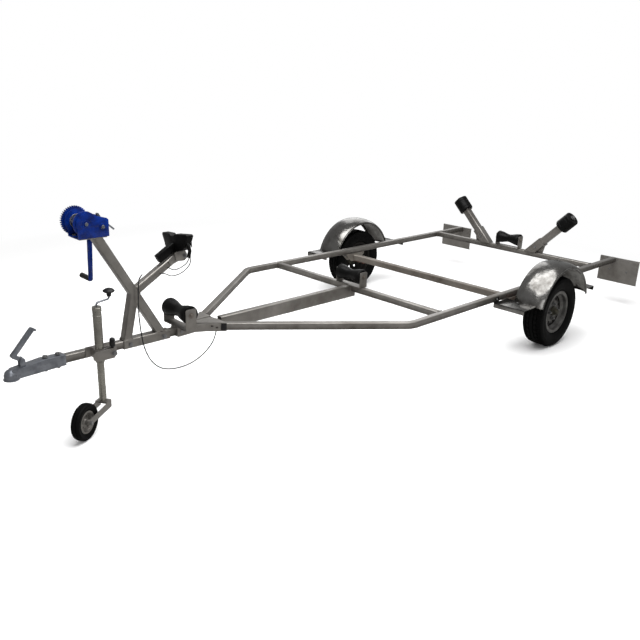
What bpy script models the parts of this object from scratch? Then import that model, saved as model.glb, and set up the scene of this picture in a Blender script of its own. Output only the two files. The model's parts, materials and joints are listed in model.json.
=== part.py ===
"""Single-axle boat trailer with keel rollers and a hand winch, parked on its jockey wheel.

Metres, +X forward, +Y left, +Z up, ground at Z = 0. Every place along the trailer is
given from the wheel axis, and one empty then carries the whole trailer to its origin.
"""

import math

import bmesh
import bpy
from mathutils import Matrix, Vector

# Driving sizes
NOSE_AHEAD = 3.270
TAIL_BEHIND = 1.374
TRACK = 1.831
GAP = 0.0003
RUNNING_GAP = 0.0004
OVERRUN = 0.002
SHEET = 0.002

PIN_STEPS = 16

# Frame tubes
TUBE = 0.040
WALL = 0.003
CORNER = 0.004
FRAME_Z = 0.367
RAIL_INSIDE_WHEEL = 0.1705
RAIL_BEND_AHEAD = 1.284
RAIL_BEND_RADIUS = 0.110
RAIL_NOSE_SETBACK = 1.090
RAIL_NOSE_Y = 0.0512
FRONT_CROSS_AHEAD = 1.001
REAR_CROSS_AHEAD = -0.935
BEAM_HEIGHT = 0.080
BEAM_SHORT_OF_NOSE = 0.104

# Drawbar and the sleeves on it
DRAWBAR_Z = 0.3645
DRAWBAR_SHORT_OF_TIP = 0.185
DRAWBAR_INSIDE_NOSE = 0.070
SLEEVE_SIDE = 0.050
FRAME_SLEEVE_PAST_NOSE = 0.192
GUSSET = 0.005
GUSSET_PAST_NOSE = 0.070
GUSSET_INSIDE_NOSE = 0.120
SLEEVE_SPACING = 0.041
POST_SLEEVE_LENGTH = 0.267

# Coupling
COUPLING_LENGTH = 0.285
COUPLING_HEAD = 0.175
COUPLING_WIDTH = 0.052
COUPLING_WALL = 0.004
BALL_SETBACK = 0.036
BALL_BELOW_BAR = 0.021
BALL_RADIUS = 0.025
DOME_RADIUS = 0.0325
LIP_RADIUS = 0.036
LIP_DROP = 0.019
COUPLING_SKIRT = 0.0265
HANDLE_PIVOT_SETBACK = 0.088
HANDLE_PIVOT_RISE = 0.0435
HANDLE_WIDTH = 0.022
HANDLE_PIN_RADIUS = 0.004
HANDLE_SHAPE = (
    # ahead of and above the pivot: forward to the elbow, back up the arm, and round the hook
    (0.0050, -0.0075), (0.0420, 0.0175), (0.0470, 0.0245), (0.0445, 0.0316), (-0.0505, 0.1396),
    (-0.0570, 0.1435), (-0.0660, 0.1400), (-0.0780, 0.1310), (-0.0740, 0.1230), (-0.0655, 0.1264),
    (0.0227, 0.0262), (-0.0050, 0.0075), (-0.0083, 0.0034), (-0.0090, -0.0010), (-0.0070, -0.0057),
    (-0.0030, -0.0085),
)

# Axle and wheels
WHEEL_STEPS = 28
TYRE_RADIUS = 0.243
TYRE_WIDTH = 0.145
BEAD_RADIUS = 0.127
FLANGE_RADIUS = 0.1455
RIM_HALF = 0.0545
RIM_METAL = 0.003
DROP_RADIUS = 0.108
DISC_FACE = 0.022
DISC_METAL = 0.004
DISC_BORE = 0.032
VENT_COUNT = 8
VENT_RADIUS = 0.011
VENT_CIRCLE = 0.082
HUB_FLANGE = 0.060
HUB_BARREL = 0.034
HUB_INNER = -0.072
HUB_CAP = 0.060
STUB_RADIUS = 0.0125
STUB_REACH = 0.030
AXLE_BEAM = 0.045
AXLE_BEAM_AHEAD = 0.190
AXLE_BEAM_Z = 0.312
AXLE_BEAM_PAST_RAIL = 0.040
ARM_THICK = 0.028
ARM_BEAM_RADIUS = 0.034
ARM_STUB_RADIUS = 0.026
SEAT_LENGTH = 0.200
SEAT_FOOT = 0.090
SEAT_WIDTH = 0.055
SEAT_PLATE = 0.006
SEAT_DEPTH = 0.062

# Mudguards
GUARD_RADIUS = 0.320
GUARD_WIDTH = 0.200
GUARD_DOME = 0.020
GUARD_DOME_POWER = 2.6
GUARD_LIP = 0.014
GUARD_POINTS = 8
GUARD_FRONT_ANGLE = math.radians(14)
GUARD_REAR_ANGLE = math.radians(166)
GUARD_STEPS = 14
STAY_WIDTH = 0.170
STAY_METAL = 0.004
STAY_FOLD = 0.015
STAY_DROP = 0.028
STAY_REACH_SHARE = 0.7
STAY_FOOT = 0.110

# Lamp plates
LAMP_PLATE_BEHIND = 1.3195
LAMP_PLATE_INSIDE_RAIL = 0.110
LAMP_PLATE_WIDTH = 0.321
LAMP_PLATE_LOW = 0.185
LAMP_PLATE_TOP = 0.383
LAMP_PLATE_METAL = 0.003
LAMP_FOLD = 0.014
LAMP_LENGTH = 0.215
LAMP_HEIGHT = 0.105
LAMP_FILLET = 0.010

# Rollers
KEEL_ROLLER_RADIUS = 0.0575
KEEL_WAIST_RADIUS = 0.034
KEEL_ROLLER_LENGTH = 0.205
KEEL_PIN_RADIUS = 0.008
EAR_METAL = 0.004
EAR_PLAY = 0.0015
EAR_WIDTH = 0.080
FRONT_ROLLER_SETBACK = 0.038
FRONT_ROLLER_Z = 0.472
MIDDLE_ROLLER_Z = 0.458
REAR_ROLLER_Z = 0.457
SIDE_ARM_BASE_Y = 0.215
SIDE_ROLLER_Y = 0.490
SIDE_ROLLER_Z = 0.668
SIDE_ROLLER_RADIUS = 0.058
SIDE_ROLLER_LENGTH = 0.118
SIDE_PIN_RADIUS = 0.009
SIDE_SOCKET = 0.070
SIDE_SOCKET_LENGTH = 0.175
SIDE_STEM = 0.055
SIDE_CAP = 0.072
SIDE_CAP_METAL = 0.006
ROLLER_STEPS = 18

# Winch post
POST_TUBE = 0.045
ARM_TUBE = 0.040
POST_FOOT_INSET = 0.053
POST_LEAN_REACH = 0.321
POST_LEG_SPREAD = 0.189
JUNCTION_Z = 0.623
CAP_PLATE = 0.005
CAP_SETBACK = 0.042
CAP_LENGTH = 0.137
CAP_HALF = 0.045
WINCH_FLOOR = 0.935
BOW_ARM_REACH = 0.2464
BOW_ARM_RISE = 0.146

# Winch
WINCH_OVERHANG = 0.008
WINCH_HALF = 0.052
WINCH_SHEET = 0.004
DRUM_PAST_POST = 0.062
DRUM_RISE = 0.068
PINION_SETBACK = 0.080
PINION_DROP = 0.020
CHEEK_RADIUS = 0.047
CHEEK_REAR_RISE = 0.086
GEAR_TEETH = 40
PINION_TEETH = 10
GEAR_WIDTH = 0.012
GEAR_PLAY = 0.005
PRESSURE_ANGLE = math.radians(20)
ADDENDUM_SHARE = 0.90
DEDENDUM_SHARE = 1.20
BACKLASH_SHARE = 0.06
DRUM_BARREL = 0.024
DRUM_FLANGE = 0.058
DRUM_SHAFT = 0.009
FLANGE_METAL = 0.004
PINION_SHAFT = 0.008
SHAFT_END = 0.008
CRANK_REACH = 0.280
CRANK_LEAN = math.radians(2.5)
CRANK_WIDTH = 0.022
CRANK_METAL = 0.006
CRANK_PLAY = 0.010
GRIP_PIN = 0.0045
GRIP_LENGTH = 0.092
GRIP_RADIUS = 0.0135
PAWL_PIN = 0.004
PAWL_WIDTH = 0.012
PAWL_ROD = 0.0045

# Bow stop
STOP_BACK = 0.026
STOP_WAIST_RISE = 0.051
STOP_TOP_RISE = 0.129
STOP_LOW_RISE = 0.003
STOP_TOP_HALF = 0.130
STOP_WAIST_HALF = 0.104
STOP_LOW_HALF = 0.110
STOP_THICK = 0.040
STOP_VEE = 0.014
PAD_LENGTH = 0.106
PAD_BACK = 0.026
PAD_RISE = 0.042
CHEEK_PLATE = 0.004
STOP_BOLT = 0.006
STOP_BOLT_BACK = -0.045
STOP_BOLT_RISE = 0.008
STOP_PLATE = (
    # ahead of and above the arm's end
    (0.051, -0.012), (0.035, -0.036), (-0.007, -0.019), (-0.047, -0.021),
    (-0.072, 0.000), (-0.042, 0.046), (0.003, 0.028),
)

# Jockey wheel
JOCKEY_PAST_POST = 0.160
JOCKEY_Y = 0.078
JOCKEY_TUBE_RADIUS = 0.021
JOCKEY_TUBE_BORE = 0.0181
JOCKEY_TUBE_LOW = 0.335
JOCKEY_TUBE_TOP = 0.615
JOCKEY_LEG_RADIUS = 0.0175
JOCKEY_LEG_TOP = 0.472
JOCKEY_WHEEL_STEPS = 24
JOCKEY_WHEEL_RADIUS = 0.0915
JOCKEY_TYRE_HALF = 0.0225
JOCKEY_RIM_RADIUS = 0.056
JOCKEY_TRAIL = 0.165
JOCKEY_TURN = math.radians(31)
FORK_METAL = 0.004
FORK_HALF = 0.030
FORK_CROWN_Z = 0.131
FORK_KNEE_Z = 0.092
FORK_ARM_RADIUS = 0.017
JOCKEY_PIN_RADIUS = 0.006
CLAMP_DROP = 0.0125
CLAMP_HEIGHT = 0.050
CLAMP_METAL = 0.006
CLAMP_SETBACK = 0.095
CLAMP_LENGTH = 0.140
CLAMP_EAR = 0.060
JAW_FRONT_REACH = 0.050
JAW_REAR_REACH = 0.070
JAW_OFFSET = 0.0315
JAW_CORNER = 0.014
T_BOLT_RADIUS = 0.006
T_BAR_LENGTH = 0.072
T_BAR_RADIUS = 0.009
JOCKEY_CRANK_RADIUS = 0.005
CRANK_CORNER_SHARE = 1.6
JOCKEY_CRANK_REACH = 0.082
JOCKEY_CRANK_TURN = math.radians(196)
JOCKEY_CRANK_RISE = 0.028
KNOB_RADIUS = 0.029
KNOB_HEIGHT = 0.040

# Cables
CABLE_RADIUS = 0.0032
STRAND_RADIUS = 0.0025
CABLE_STEP = 0.020
STRAND_STEP = 0.012
BOOT_RADIUS = 0.008
BOOT_BACK = 0.072
BOOT_DROP = 0.011
BOOT_LENGTH = 0.032
LIGHTING_DROOP = (
    # ahead of the post's foot, left, and above the drawbar's middle line
    (0.094, 0.0235, 0.3475), (0.11, 0.03, 0.3385), (0.124, 0.036, 0.3115), (0.131, 0.04, 0.2355),
    (0.135, 0.045, 0.1405), (0.126, 0.048, 0.0275), (0.112, 0.051, -0.0425), (0.082, 0.053, -0.1085),
    (0.036, 0.055, -0.1565), (-0.018, 0.057, -0.1795), (-0.093, 0.059, -0.1875), (-0.17, 0.06, -0.1765),
    (-0.24, 0.061, -0.1445), (-0.295, 0.062, -0.0955), (-0.32, 0.062, -0.0445), (-0.323, 0.062, -0.0237),
)
OUTER_DROOP = (
    # ahead of, left of and above the boot's lower end
    (-0.004, -0.0001, -0.0005), (-0.006, -0.0007, -0.020), (0.007, -0.0017, -0.043),
    (0.031, -0.0027, -0.062), (0.059, -0.0027, -0.074), (0.090, -0.0037, -0.079),
)
INNER_DROOP = (
    (0.004, -0.0001, -0.0018), (0.013, -0.0007, -0.018), (0.028, -0.0017, -0.031),
    (0.053, -0.0027, -0.042), (0.077, -0.0037, -0.048), (0.093, -0.0047, -0.049),
)
OUTER_TIE = (
    # back along the arm from its end, out from its side, and above its middle line
    (0.0789, 0.0052, -0.0567), (0.0891, 0.0032, -0.0425),
    (0.1004, 0, -0.0242), (0.1186, 0, -0.0099),
)
INNER_TIE = (
    (0.0588, 0.0032, -0.0267), (0.0679, 0, -0.0086),
)

# Worked out from the sizes above
WHEEL_Z = TYRE_RADIUS * math.cos(math.pi / WHEEL_STEPS)
WHEEL_Y = TRACK / 2
RAIL_Y = WHEEL_Y - RAIL_INSIDE_WHEEL
RAIL_NOSE_AHEAD = NOSE_AHEAD - RAIL_NOSE_SETBACK
AXLE_BEAM_END = RAIL_Y + AXLE_BEAM_PAST_RAIL
LAMP_PLATE_IN = RAIL_Y - LAMP_PLATE_INSIDE_RAIL
LAMP_PLATE_OUT = LAMP_PLATE_IN + LAMP_PLATE_WIDTH
JOCKEY_WHEEL_Z = JOCKEY_WHEEL_RADIUS * math.cos(math.pi / JOCKEY_WHEEL_STEPS)
FRAME_TOP = FRAME_Z + TUBE / 2
FRAME_BOTTOM = FRAME_Z - TUBE / 2
SLEEVE_TOP = DRAWBAR_Z + SLEEVE_SIDE / 2
BEAM_FRONT = RAIL_NOSE_AHEAD - BEAM_SHORT_OF_NOSE
DRAWBAR_FRONT = NOSE_AHEAD - DRAWBAR_SHORT_OF_TIP
DRAWBAR_REAR = RAIL_NOSE_AHEAD - DRAWBAR_INSIDE_NOSE
FRAME_SLEEVE_FRONT = RAIL_NOSE_AHEAD + FRAME_SLEEVE_PAST_NOSE
GUSSET_FRONT = RAIL_NOSE_AHEAD + GUSSET_PAST_NOSE
GUSSET_REAR = RAIL_NOSE_AHEAD - GUSSET_INSIDE_NOSE
FRONT_ROLLER_AHEAD = FRAME_SLEEVE_FRONT - FRONT_ROLLER_SETBACK
COUPLING_REAR = NOSE_AHEAD - COUPLING_LENGTH
COUPLING_SHOULDER = NOSE_AHEAD - COUPLING_HEAD
COUPLING_BOTTOM = DRAWBAR_Z - COUPLING_SKIRT
BALL_AHEAD = NOSE_AHEAD - BALL_SETBACK
BALL_Z = DRAWBAR_Z - BALL_BELOW_BAR
HANDLE_PIVOT_AHEAD = NOSE_AHEAD - HANDLE_PIVOT_SETBACK
HANDLE_PIVOT_Z = DRAWBAR_Z + HANDLE_PIVOT_RISE
POST_SLEEVE_REAR = FRAME_SLEEVE_FRONT + SLEEVE_SPACING
POST_SLEEVE_FRONT = POST_SLEEVE_REAR + POST_SLEEVE_LENGTH
POST_FOOT_AHEAD = POST_SLEEVE_REAR + POST_FOOT_INSET
POST_TOP_AHEAD = POST_FOOT_AHEAD + POST_LEAN_REACH
POST_LEG_AHEAD = POST_FOOT_AHEAD + POST_LEG_SPREAD
CAP_REAR = POST_TOP_AHEAD - CAP_SETBACK
CAP_FRONT = CAP_REAR + CAP_LENGTH
WINCH_REAR = CAP_REAR - WINCH_OVERHANG
WINCH_FRONT = CAP_FRONT + WINCH_OVERHANG
DRUM_AHEAD = POST_TOP_AHEAD + DRUM_PAST_POST
DRUM_Z = WINCH_FLOOR + DRUM_RISE
PINION_AHEAD = DRUM_AHEAD - PINION_SETBACK
PINION_Z = DRUM_Z - PINION_DROP
CHEEK_REAR_TOP = WINCH_FLOOR + CHEEK_REAR_RISE
JOCKEY_AHEAD = POST_SLEEVE_FRONT + JOCKEY_PAST_POST
CLAMP_LOW = DRAWBAR_Z - CLAMP_DROP
CLAMP_TOP = CLAMP_LOW + CLAMP_HEIGHT
CLAMP_REAR = JOCKEY_AHEAD - CLAMP_SETBACK
CLAMP_FRONT = CLAMP_REAR + CLAMP_LENGTH
ORIGIN_AHEAD = (TAIL_BEHIND - NOSE_AHEAD) / 2
POST_LEAN = (POST_TOP_AHEAD - POST_FOOT_AHEAD) / (WINCH_FLOOR - SLEEVE_TOP)
JUNCTION_AHEAD = POST_FOOT_AHEAD + POST_LEAN * (JUNCTION_Z - SLEEVE_TOP)
BOW_ARM_AHEAD = JUNCTION_AHEAD - BOW_ARM_REACH
BOW_ARM_Z = JUNCTION_Z + BOW_ARM_RISE
STOP_AHEAD = BOW_ARM_AHEAD - STOP_BACK
STOP_WAIST_Z = BOW_ARM_Z + STOP_WAIST_RISE
STOP_TOP_Z = BOW_ARM_Z + STOP_TOP_RISE
STOP_LOW_Z = BOW_ARM_Z + STOP_LOW_RISE
BOOT_AHEAD = BOW_ARM_AHEAD - BOOT_BACK
BOOT_LOW_Z = BOW_ARM_Z - BOOT_DROP
BOTH_SIDES = (("left", 1), ("right", -1))

# A flat outline drawn in X and Y stands up in the XZ plane, or a turned shape lies along Y
UPRIGHT = Matrix.Rotation(math.pi / 2, 4, "X")
ALONG_Y = Matrix.Rotation(-math.pi / 2, 4, "X")
ALONG_X = Matrix.Rotation(math.pi / 2, 4, "Y")
LEVEL = Matrix.Identity(4)

PARTS = "boat_trailer"
CUTTERS = "cutters"


def clear_scene():
    for old in list(bpy.data.objects):
        bpy.data.objects.remove(old, do_unlink=True)
    for name in (PARTS, CUTTERS):
        bpy.context.scene.collection.children.link(bpy.data.collections.new(name))


def material(name, color, roughness, metallic=0.0):
    made = bpy.data.materials.new(name)
    made.use_nodes = True
    shader = made.node_tree.nodes["Principled BSDF"]
    shader.inputs["Base Color"].default_value = (*color, 1.0)
    shader.inputs["Roughness"].default_value = roughness
    shader.inputs["Metallic"].default_value = metallic
    made.diffuse_color = (*color, 1.0)
    return made


def make_materials():
    return {
        "galvanised": material("galvanised_steel", (0.30, 0.29, 0.27), 0.45, 0.9),
        "bright_zinc": material("bright_zinc", (0.55, 0.56, 0.58), 0.25, 1.0),
        "zinc": material("zinc_plate", (0.36, 0.38, 0.43), 0.35, 0.9),
        "silver": material("silver_wheel_paint", (0.46, 0.46, 0.45), 0.35, 0.6),
        "cast": material("cast_iron", (0.10, 0.08, 0.07), 0.6, 0.6),
        "blue": material("blue_paint", (0.005, 0.02, 0.14), 0.3),
        "rubber": material("black_rubber", (0.012, 0.012, 0.012), 0.7),
        "plastic": material("black_plastic", (0.015, 0.015, 0.015), 0.45),
        "lens": material("red_lens", (0.35, 0.01, 0.01), 0.2),
        "sheath": material("cable_sheath", (0.03, 0.03, 0.03), 0.5),
    }


def link(thing, location=(0, 0, 0), turn=LEVEL):
    """Puts an object in the scene at its place, in the trailer's own frame."""
    bpy.data.collections[PARTS].objects.link(thing)
    thing.matrix_world = Matrix.Translation(Vector(location)) @ turn
    return thing


def solid(mesh_source, location=(0, 0, 0), turn=LEVEL):
    """An object from a bmesh, which is freed."""
    bmesh.ops.recalc_face_normals(mesh_source, faces=mesh_source.faces)
    mesh = bpy.data.meshes.new("shape")
    mesh_source.to_mesh(mesh)
    mesh_source.free()
    return link(bpy.data.objects.new("shape", mesh), location, turn)


def box(size, centre, turn=LEVEL):
    shape = bmesh.new()
    bmesh.ops.create_cube(shape, size=1, matrix=Matrix.Diagonal((*size, 1)))
    return solid(shape, centre, turn)


def cylinder(radius, length, centre, turn=LEVEL, steps=PIN_STEPS, top_radius=None):
    shape = bmesh.new()
    end_radius = radius if top_radius is None else top_radius
    half_step = Matrix.Rotation(math.pi / steps, 4, "Z")
    bmesh.ops.create_cone(shape, cap_ends=True, segments=steps, radius1=radius,
                          radius2=end_radius, depth=length, matrix=half_step)
    return solid(shape, centre, turn)


def arc(centre, radius, start, end, steps):
    """Points along an arc, both ends included."""
    return [(centre[0] + radius * math.cos(start + (end - start) * i / steps),
             centre[1] + radius * math.sin(start + (end - start) * i / steps))
            for i in range(steps + 1)]


def rounded(width, height, radius, steps=1):
    """A rectangle with rounded corners about the origin."""
    corners = ((1, 1, 0), (-1, 1, 1), (-1, -1, 2), (1, -1, 3))
    points = []
    for sx, sy, quarter in corners:
        centre = (sx * (width / 2 - radius), sy * (height / 2 - radius))
        start = quarter * math.pi / 2
        points += arc(centre, radius, start, start + math.pi / 2, steps)
    return points


def circle(centre, radius, steps=PIN_STEPS):
    return arc(centre, radius, math.pi / steps, math.pi / steps + math.tau, steps)[:-1]


def link_shape(first, first_radius, second, second_radius, steps=6):
    """The outline round two circles and their common outer tangents."""
    a, b = Vector(first), Vector(second)
    heading = math.atan2(b.y - a.y, b.x - a.x)
    spread = math.acos((first_radius - second_radius) / (b - a).length)
    return (arc(second, second_radius, heading - spread, heading + spread, steps)
            + arc(first, first_radius, heading + spread, heading + math.tau - spread, steps))


def as_mesh(curve_object):
    """The evaluated curve as a mesh object in the same place, its caps welded on."""
    graph = bpy.context.evaluated_depsgraph_get()
    graph.update()
    mesh = bpy.data.meshes.new_from_object(curve_object.evaluated_get(graph))
    welded = bmesh.new()
    welded.from_mesh(mesh)
    bmesh.ops.remove_doubles(welded, verts=welded.verts, dist=GAP / 10)
    bmesh.ops.recalc_face_normals(welded, faces=welded.faces)
    welded.to_mesh(mesh)
    welded.free()
    place = curve_object.matrix_world.copy()
    bpy.data.objects.remove(curve_object, do_unlink=True)
    made = bpy.data.objects.new("shape", mesh)
    bpy.data.collections[PARTS].objects.link(made)
    made.matrix_world = place
    return made


def slab(outlines, thickness, location=(0, 0, 0), turn=LEVEL):
    """A flat plate from closed outlines, the first outer and the others holes."""
    curve = bpy.data.curves.new("outline", "CURVE")
    curve.dimensions = "2D"
    curve.fill_mode = "BOTH"
    curve.extrude = thickness / 2
    for outline in outlines:
        spline = curve.splines.new("POLY")
        spline.points.add(len(outline) - 1)
        for point, (x, y) in zip(spline.points, outline):
            point.co = (x, y, 0, 1)
        spline.use_cyclic_u = True
    return as_mesh(link(bpy.data.objects.new("outline", curve), location, turn))


def square_tube(width, height, wall, length, centre, turn):
    """A tube open at both ends, its run along local Z."""
    outer = rounded(width, height, CORNER)
    inner = rounded(width - 2 * wall, height - 2 * wall, CORNER / 4)
    return slab([outer, inner], length, centre, turn)


def turned(profile, steps, location=(0, 0, 0), turn=LEVEL, closed=False, flat_down=False):
    """A profile of (radius, height) points turned about local Z."""
    mesh = bpy.data.meshes.new("profile")
    edges = [(i, i + 1) for i in range(len(profile) - 1)]
    if closed:
        edges.append((len(profile) - 1, 0))
    mesh.from_pydata([(radius, 0, height) for radius, height in profile], edges, [])
    if flat_down:
        mesh.transform(Matrix.Rotation(math.pi / steps, 4, "Z"))
    made = link(bpy.data.objects.new("turned", mesh), location, turn)
    screw = made.modifiers.new("turn", "SCREW")
    screw.steps = steps
    screw.render_steps = steps
    screw.use_merge_vertices = True
    screw.merge_threshold = GAP / 10
    screw.use_smooth_shade = True
    return made


def round_tube(points, radius, resolution=2):
    """A round bar along points, with filled ends."""
    curve = bpy.data.curves.new("run", "CURVE")
    curve.dimensions = "3D"
    curve.bevel_depth = radius
    curve.bevel_resolution = resolution
    curve.use_fill_caps = True
    spline = curve.splines.new("POLY")
    spline.points.add(len(points) - 1)
    for point, place in zip(spline.points, points):
        point.co = (*place, 1)
    return as_mesh(link(bpy.data.objects.new("run", curve)))


def helper(thing):
    bpy.data.collections[PARTS].objects.unlink(thing)
    bpy.data.collections[CUTTERS].objects.link(thing)
    thing.hide_render = True
    thing.display_type = "WIRE"


def combine(base, operation, others):
    for other in others:
        modifier = base.modifiers.new(operation.lower(), "BOOLEAN")
        modifier.operation = operation
        modifier.object = other
        helper(other)
    return base


def fuse(base, *others):
    return combine(base, "UNION", others)


def cut(base, *others):
    return combine(base, "DIFFERENCE", others)


def name_part(thing, name, finish):
    thing.name = name
    thing.data.name = name
    thing.data.materials.clear()
    thing.data.materials.append(finish)
    return thing


def hinge_at(thing, place):
    """Moves a piece's origin onto its joint's axis, leaving the shape where it is."""
    shift = Matrix.Translation(Vector(place)) @ thing.matrix_world.to_3x3().to_4x4()
    thing.data.transform(shift.inverted() @ thing.matrix_world)
    thing.matrix_world = shift
    return thing


def smooth_path(points, spacing):
    """A Catmull-Rom curve through hand-chosen points, read at an even spacing."""
    knots = [Vector(point) for point in points]
    knots = [2 * knots[0] - knots[1]] + knots + [2 * knots[-1] - knots[-2]]
    fine = []
    for a, b, c, d in zip(knots, knots[1:], knots[2:], knots[3:]):
        pieces = max(2, math.ceil((c - b).length / spacing))
        for i in range(pieces):
            t = i / pieces
            fine.append(0.5 * (2 * b + (c - a) * t + (2 * a - 5 * b + 4 * c - d) * t * t
                               + (3 * b - a - 3 * c + d) * t ** 3))
    fine.append(knots[-2])
    return fine


def build_rails(finishes):
    """Each side rail is one tube, bent in towards the drawbar ahead of the wheels."""
    tail = GAP - LAMP_PLATE_BEHIND + LAMP_PLATE_METAL / 2
    slope = math.atan2(RAIL_Y - RAIL_NOSE_Y, RAIL_NOSE_AHEAD - RAIL_BEND_AHEAD)
    setback = RAIL_BEND_RADIUS * math.tan(slope / 2)
    for side, sign in BOTH_SIDES:
        bend = arc((RAIL_BEND_AHEAD - setback, sign * (RAIL_Y - RAIL_BEND_RADIUS)),
                   RAIL_BEND_RADIUS, sign * math.pi / 2, sign * (math.pi / 2 - slope), 5)
        heading = Vector((math.cos(slope), -sign * math.sin(slope)))
        nose = Vector((RAIL_NOSE_AHEAD, sign * RAIL_NOSE_Y)) + heading * TUBE
        route = [(tail, sign * RAIL_Y)] + bend + [tuple(nose)]
        path = bpy.data.curves.new("rail_path", "CURVE")
        path.dimensions = "2D"
        spline = path.splines.new("POLY")
        spline.points.add(len(route) - 1)
        for point, (x, y) in zip(spline.points, route):
            point.co = (x, y, 0, 1)
        section = bpy.data.curves.new("rail_section", "CURVE")
        section.dimensions = "2D"
        ring = section.splines.new("POLY")
        corners = rounded(TUBE, TUBE, CORNER)
        ring.points.add(len(corners) - 1)
        for point, (x, y) in zip(ring.points, corners):
            point.co = (x, y, 0, 1)
        ring.use_cyclic_u = True
        section_object = bpy.data.objects.new("rail_section", section)
        bpy.data.collections[CUTTERS].objects.link(section_object)
        section_object.hide_render = True
        path.bevel_mode = "OBJECT"
        path.bevel_object = section_object
        rail = as_mesh(link(bpy.data.objects.new("rail_path", path), (0, 0, FRAME_Z)))
        bpy.data.objects.remove(section_object, do_unlink=True)
        trim_ahead(rail, RAIL_NOSE_AHEAD)
        walls = rail.modifiers.new("wall", "SOLIDIFY")
        walls.thickness = WALL
        walls.offset = -1
        walls.use_even_offset = True
        name_part(rail, "rail_" + side, finishes["galvanised"])


def trim_ahead(rail, ahead):
    """Cuts the open tube square to the drawbar."""
    mesh = bmesh.new()
    mesh.from_mesh(rail.data)
    everything = mesh.verts[:] + mesh.edges[:] + mesh.faces[:]
    bmesh.ops.bisect_plane(mesh, geom=everything, plane_co=(ahead, 0, 0),
                           plane_no=(1, 0, 0), clear_outer=True)
    bmesh.ops.recalc_face_normals(mesh, faces=mesh.faces)
    top = max(mesh.faces, key=lambda face: face.calc_center_median().z)
    if top.normal.z < 0:
        bmesh.ops.reverse_faces(mesh, faces=mesh.faces)
    mesh.to_mesh(rail.data)
    mesh.free()


def build_cross_members(finishes):
    between = 2 * (RAIL_Y - TUBE / 2 - GAP)
    for name, ahead in (("front_cross_member", FRONT_CROSS_AHEAD),
                        ("rear_cross_member", REAR_CROSS_AHEAD)):
        tube = square_tube(TUBE, TUBE, WALL, between, (ahead, 0, FRAME_Z), ALONG_Y)
        name_part(tube, name, finishes["galvanised"])


def build_center_beam(finishes):
    """The deep beam runs from the drawbar and passes under the front cross-member."""
    rear = FRONT_CROSS_AHEAD - TUBE / 2
    front = BEAM_FRONT - GAP
    centre_z = FRAME_TOP - BEAM_HEIGHT / 2
    beam = square_tube(BEAM_HEIGHT, TUBE, WALL, front - rear,
                       ((front + rear) / 2, 0, centre_z), ALONG_X)
    notch_depth = TUBE + GAP
    notch = box((TUBE + 2 * GAP + OVERRUN, TUBE + OVERRUN, notch_depth + OVERRUN),
                (FRONT_CROSS_AHEAD - OVERRUN / 2, 0,
                 FRAME_TOP - notch_depth / 2 + OVERRUN / 2))
    name_part(cut(beam, notch), "center_beam", finishes["galvanised"])


def build_frame_bracket(finishes):
    """A sleeve for the drawbar's tail with gussets over and under each rail's nose."""
    rear = BEAM_FRONT
    length = FRAME_SLEEVE_FRONT - rear
    wall = (SLEEVE_SIDE - TUBE) / 2 - 2 * GAP
    bracket = square_tube(SLEEVE_SIDE, SLEEVE_SIDE, wall, length,
                          (rear + length / 2, 0, DRAWBAR_Z), ALONG_X)
    slope = (RAIL_Y - RAIL_NOSE_Y) / (RAIL_NOSE_AHEAD - RAIL_BEND_AHEAD)
    half_run = TUBE / 2 * math.hypot(1, slope)
    root = SLEEVE_SIDE / 2 - wall / 2
    behind = RAIL_NOSE_AHEAD - GUSSET_REAR
    for _, sign in BOTH_SIDES:
        outline = [(GUSSET_FRONT, sign * root),
                   (RAIL_NOSE_AHEAD + GAP, sign * (RAIL_NOSE_Y + half_run)),
                   (GUSSET_REAR, sign * (RAIL_NOSE_Y + half_run + slope * behind)),
                   (GUSSET_REAR, sign * (RAIL_NOSE_Y - half_run + slope * behind)),
                   (BEAM_FRONT + OVERRUN, sign * root)]
        for height in (FRAME_TOP + GAP + GUSSET / 2, FRAME_BOTTOM - GAP - GUSSET / 2):
            fuse(bracket, slab([outline], GUSSET, (0, 0, height)))
    name_part(bracket, "frame_bracket", finishes["galvanised"])


def build_drawbar(finishes):
    length = DRAWBAR_FRONT - DRAWBAR_REAR
    bar = square_tube(TUBE, TUBE, WALL, length,
                      (DRAWBAR_REAR + length / 2, 0, DRAWBAR_Z), ALONG_X)
    name_part(bar, "drawbar", finishes["galvanised"])


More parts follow.
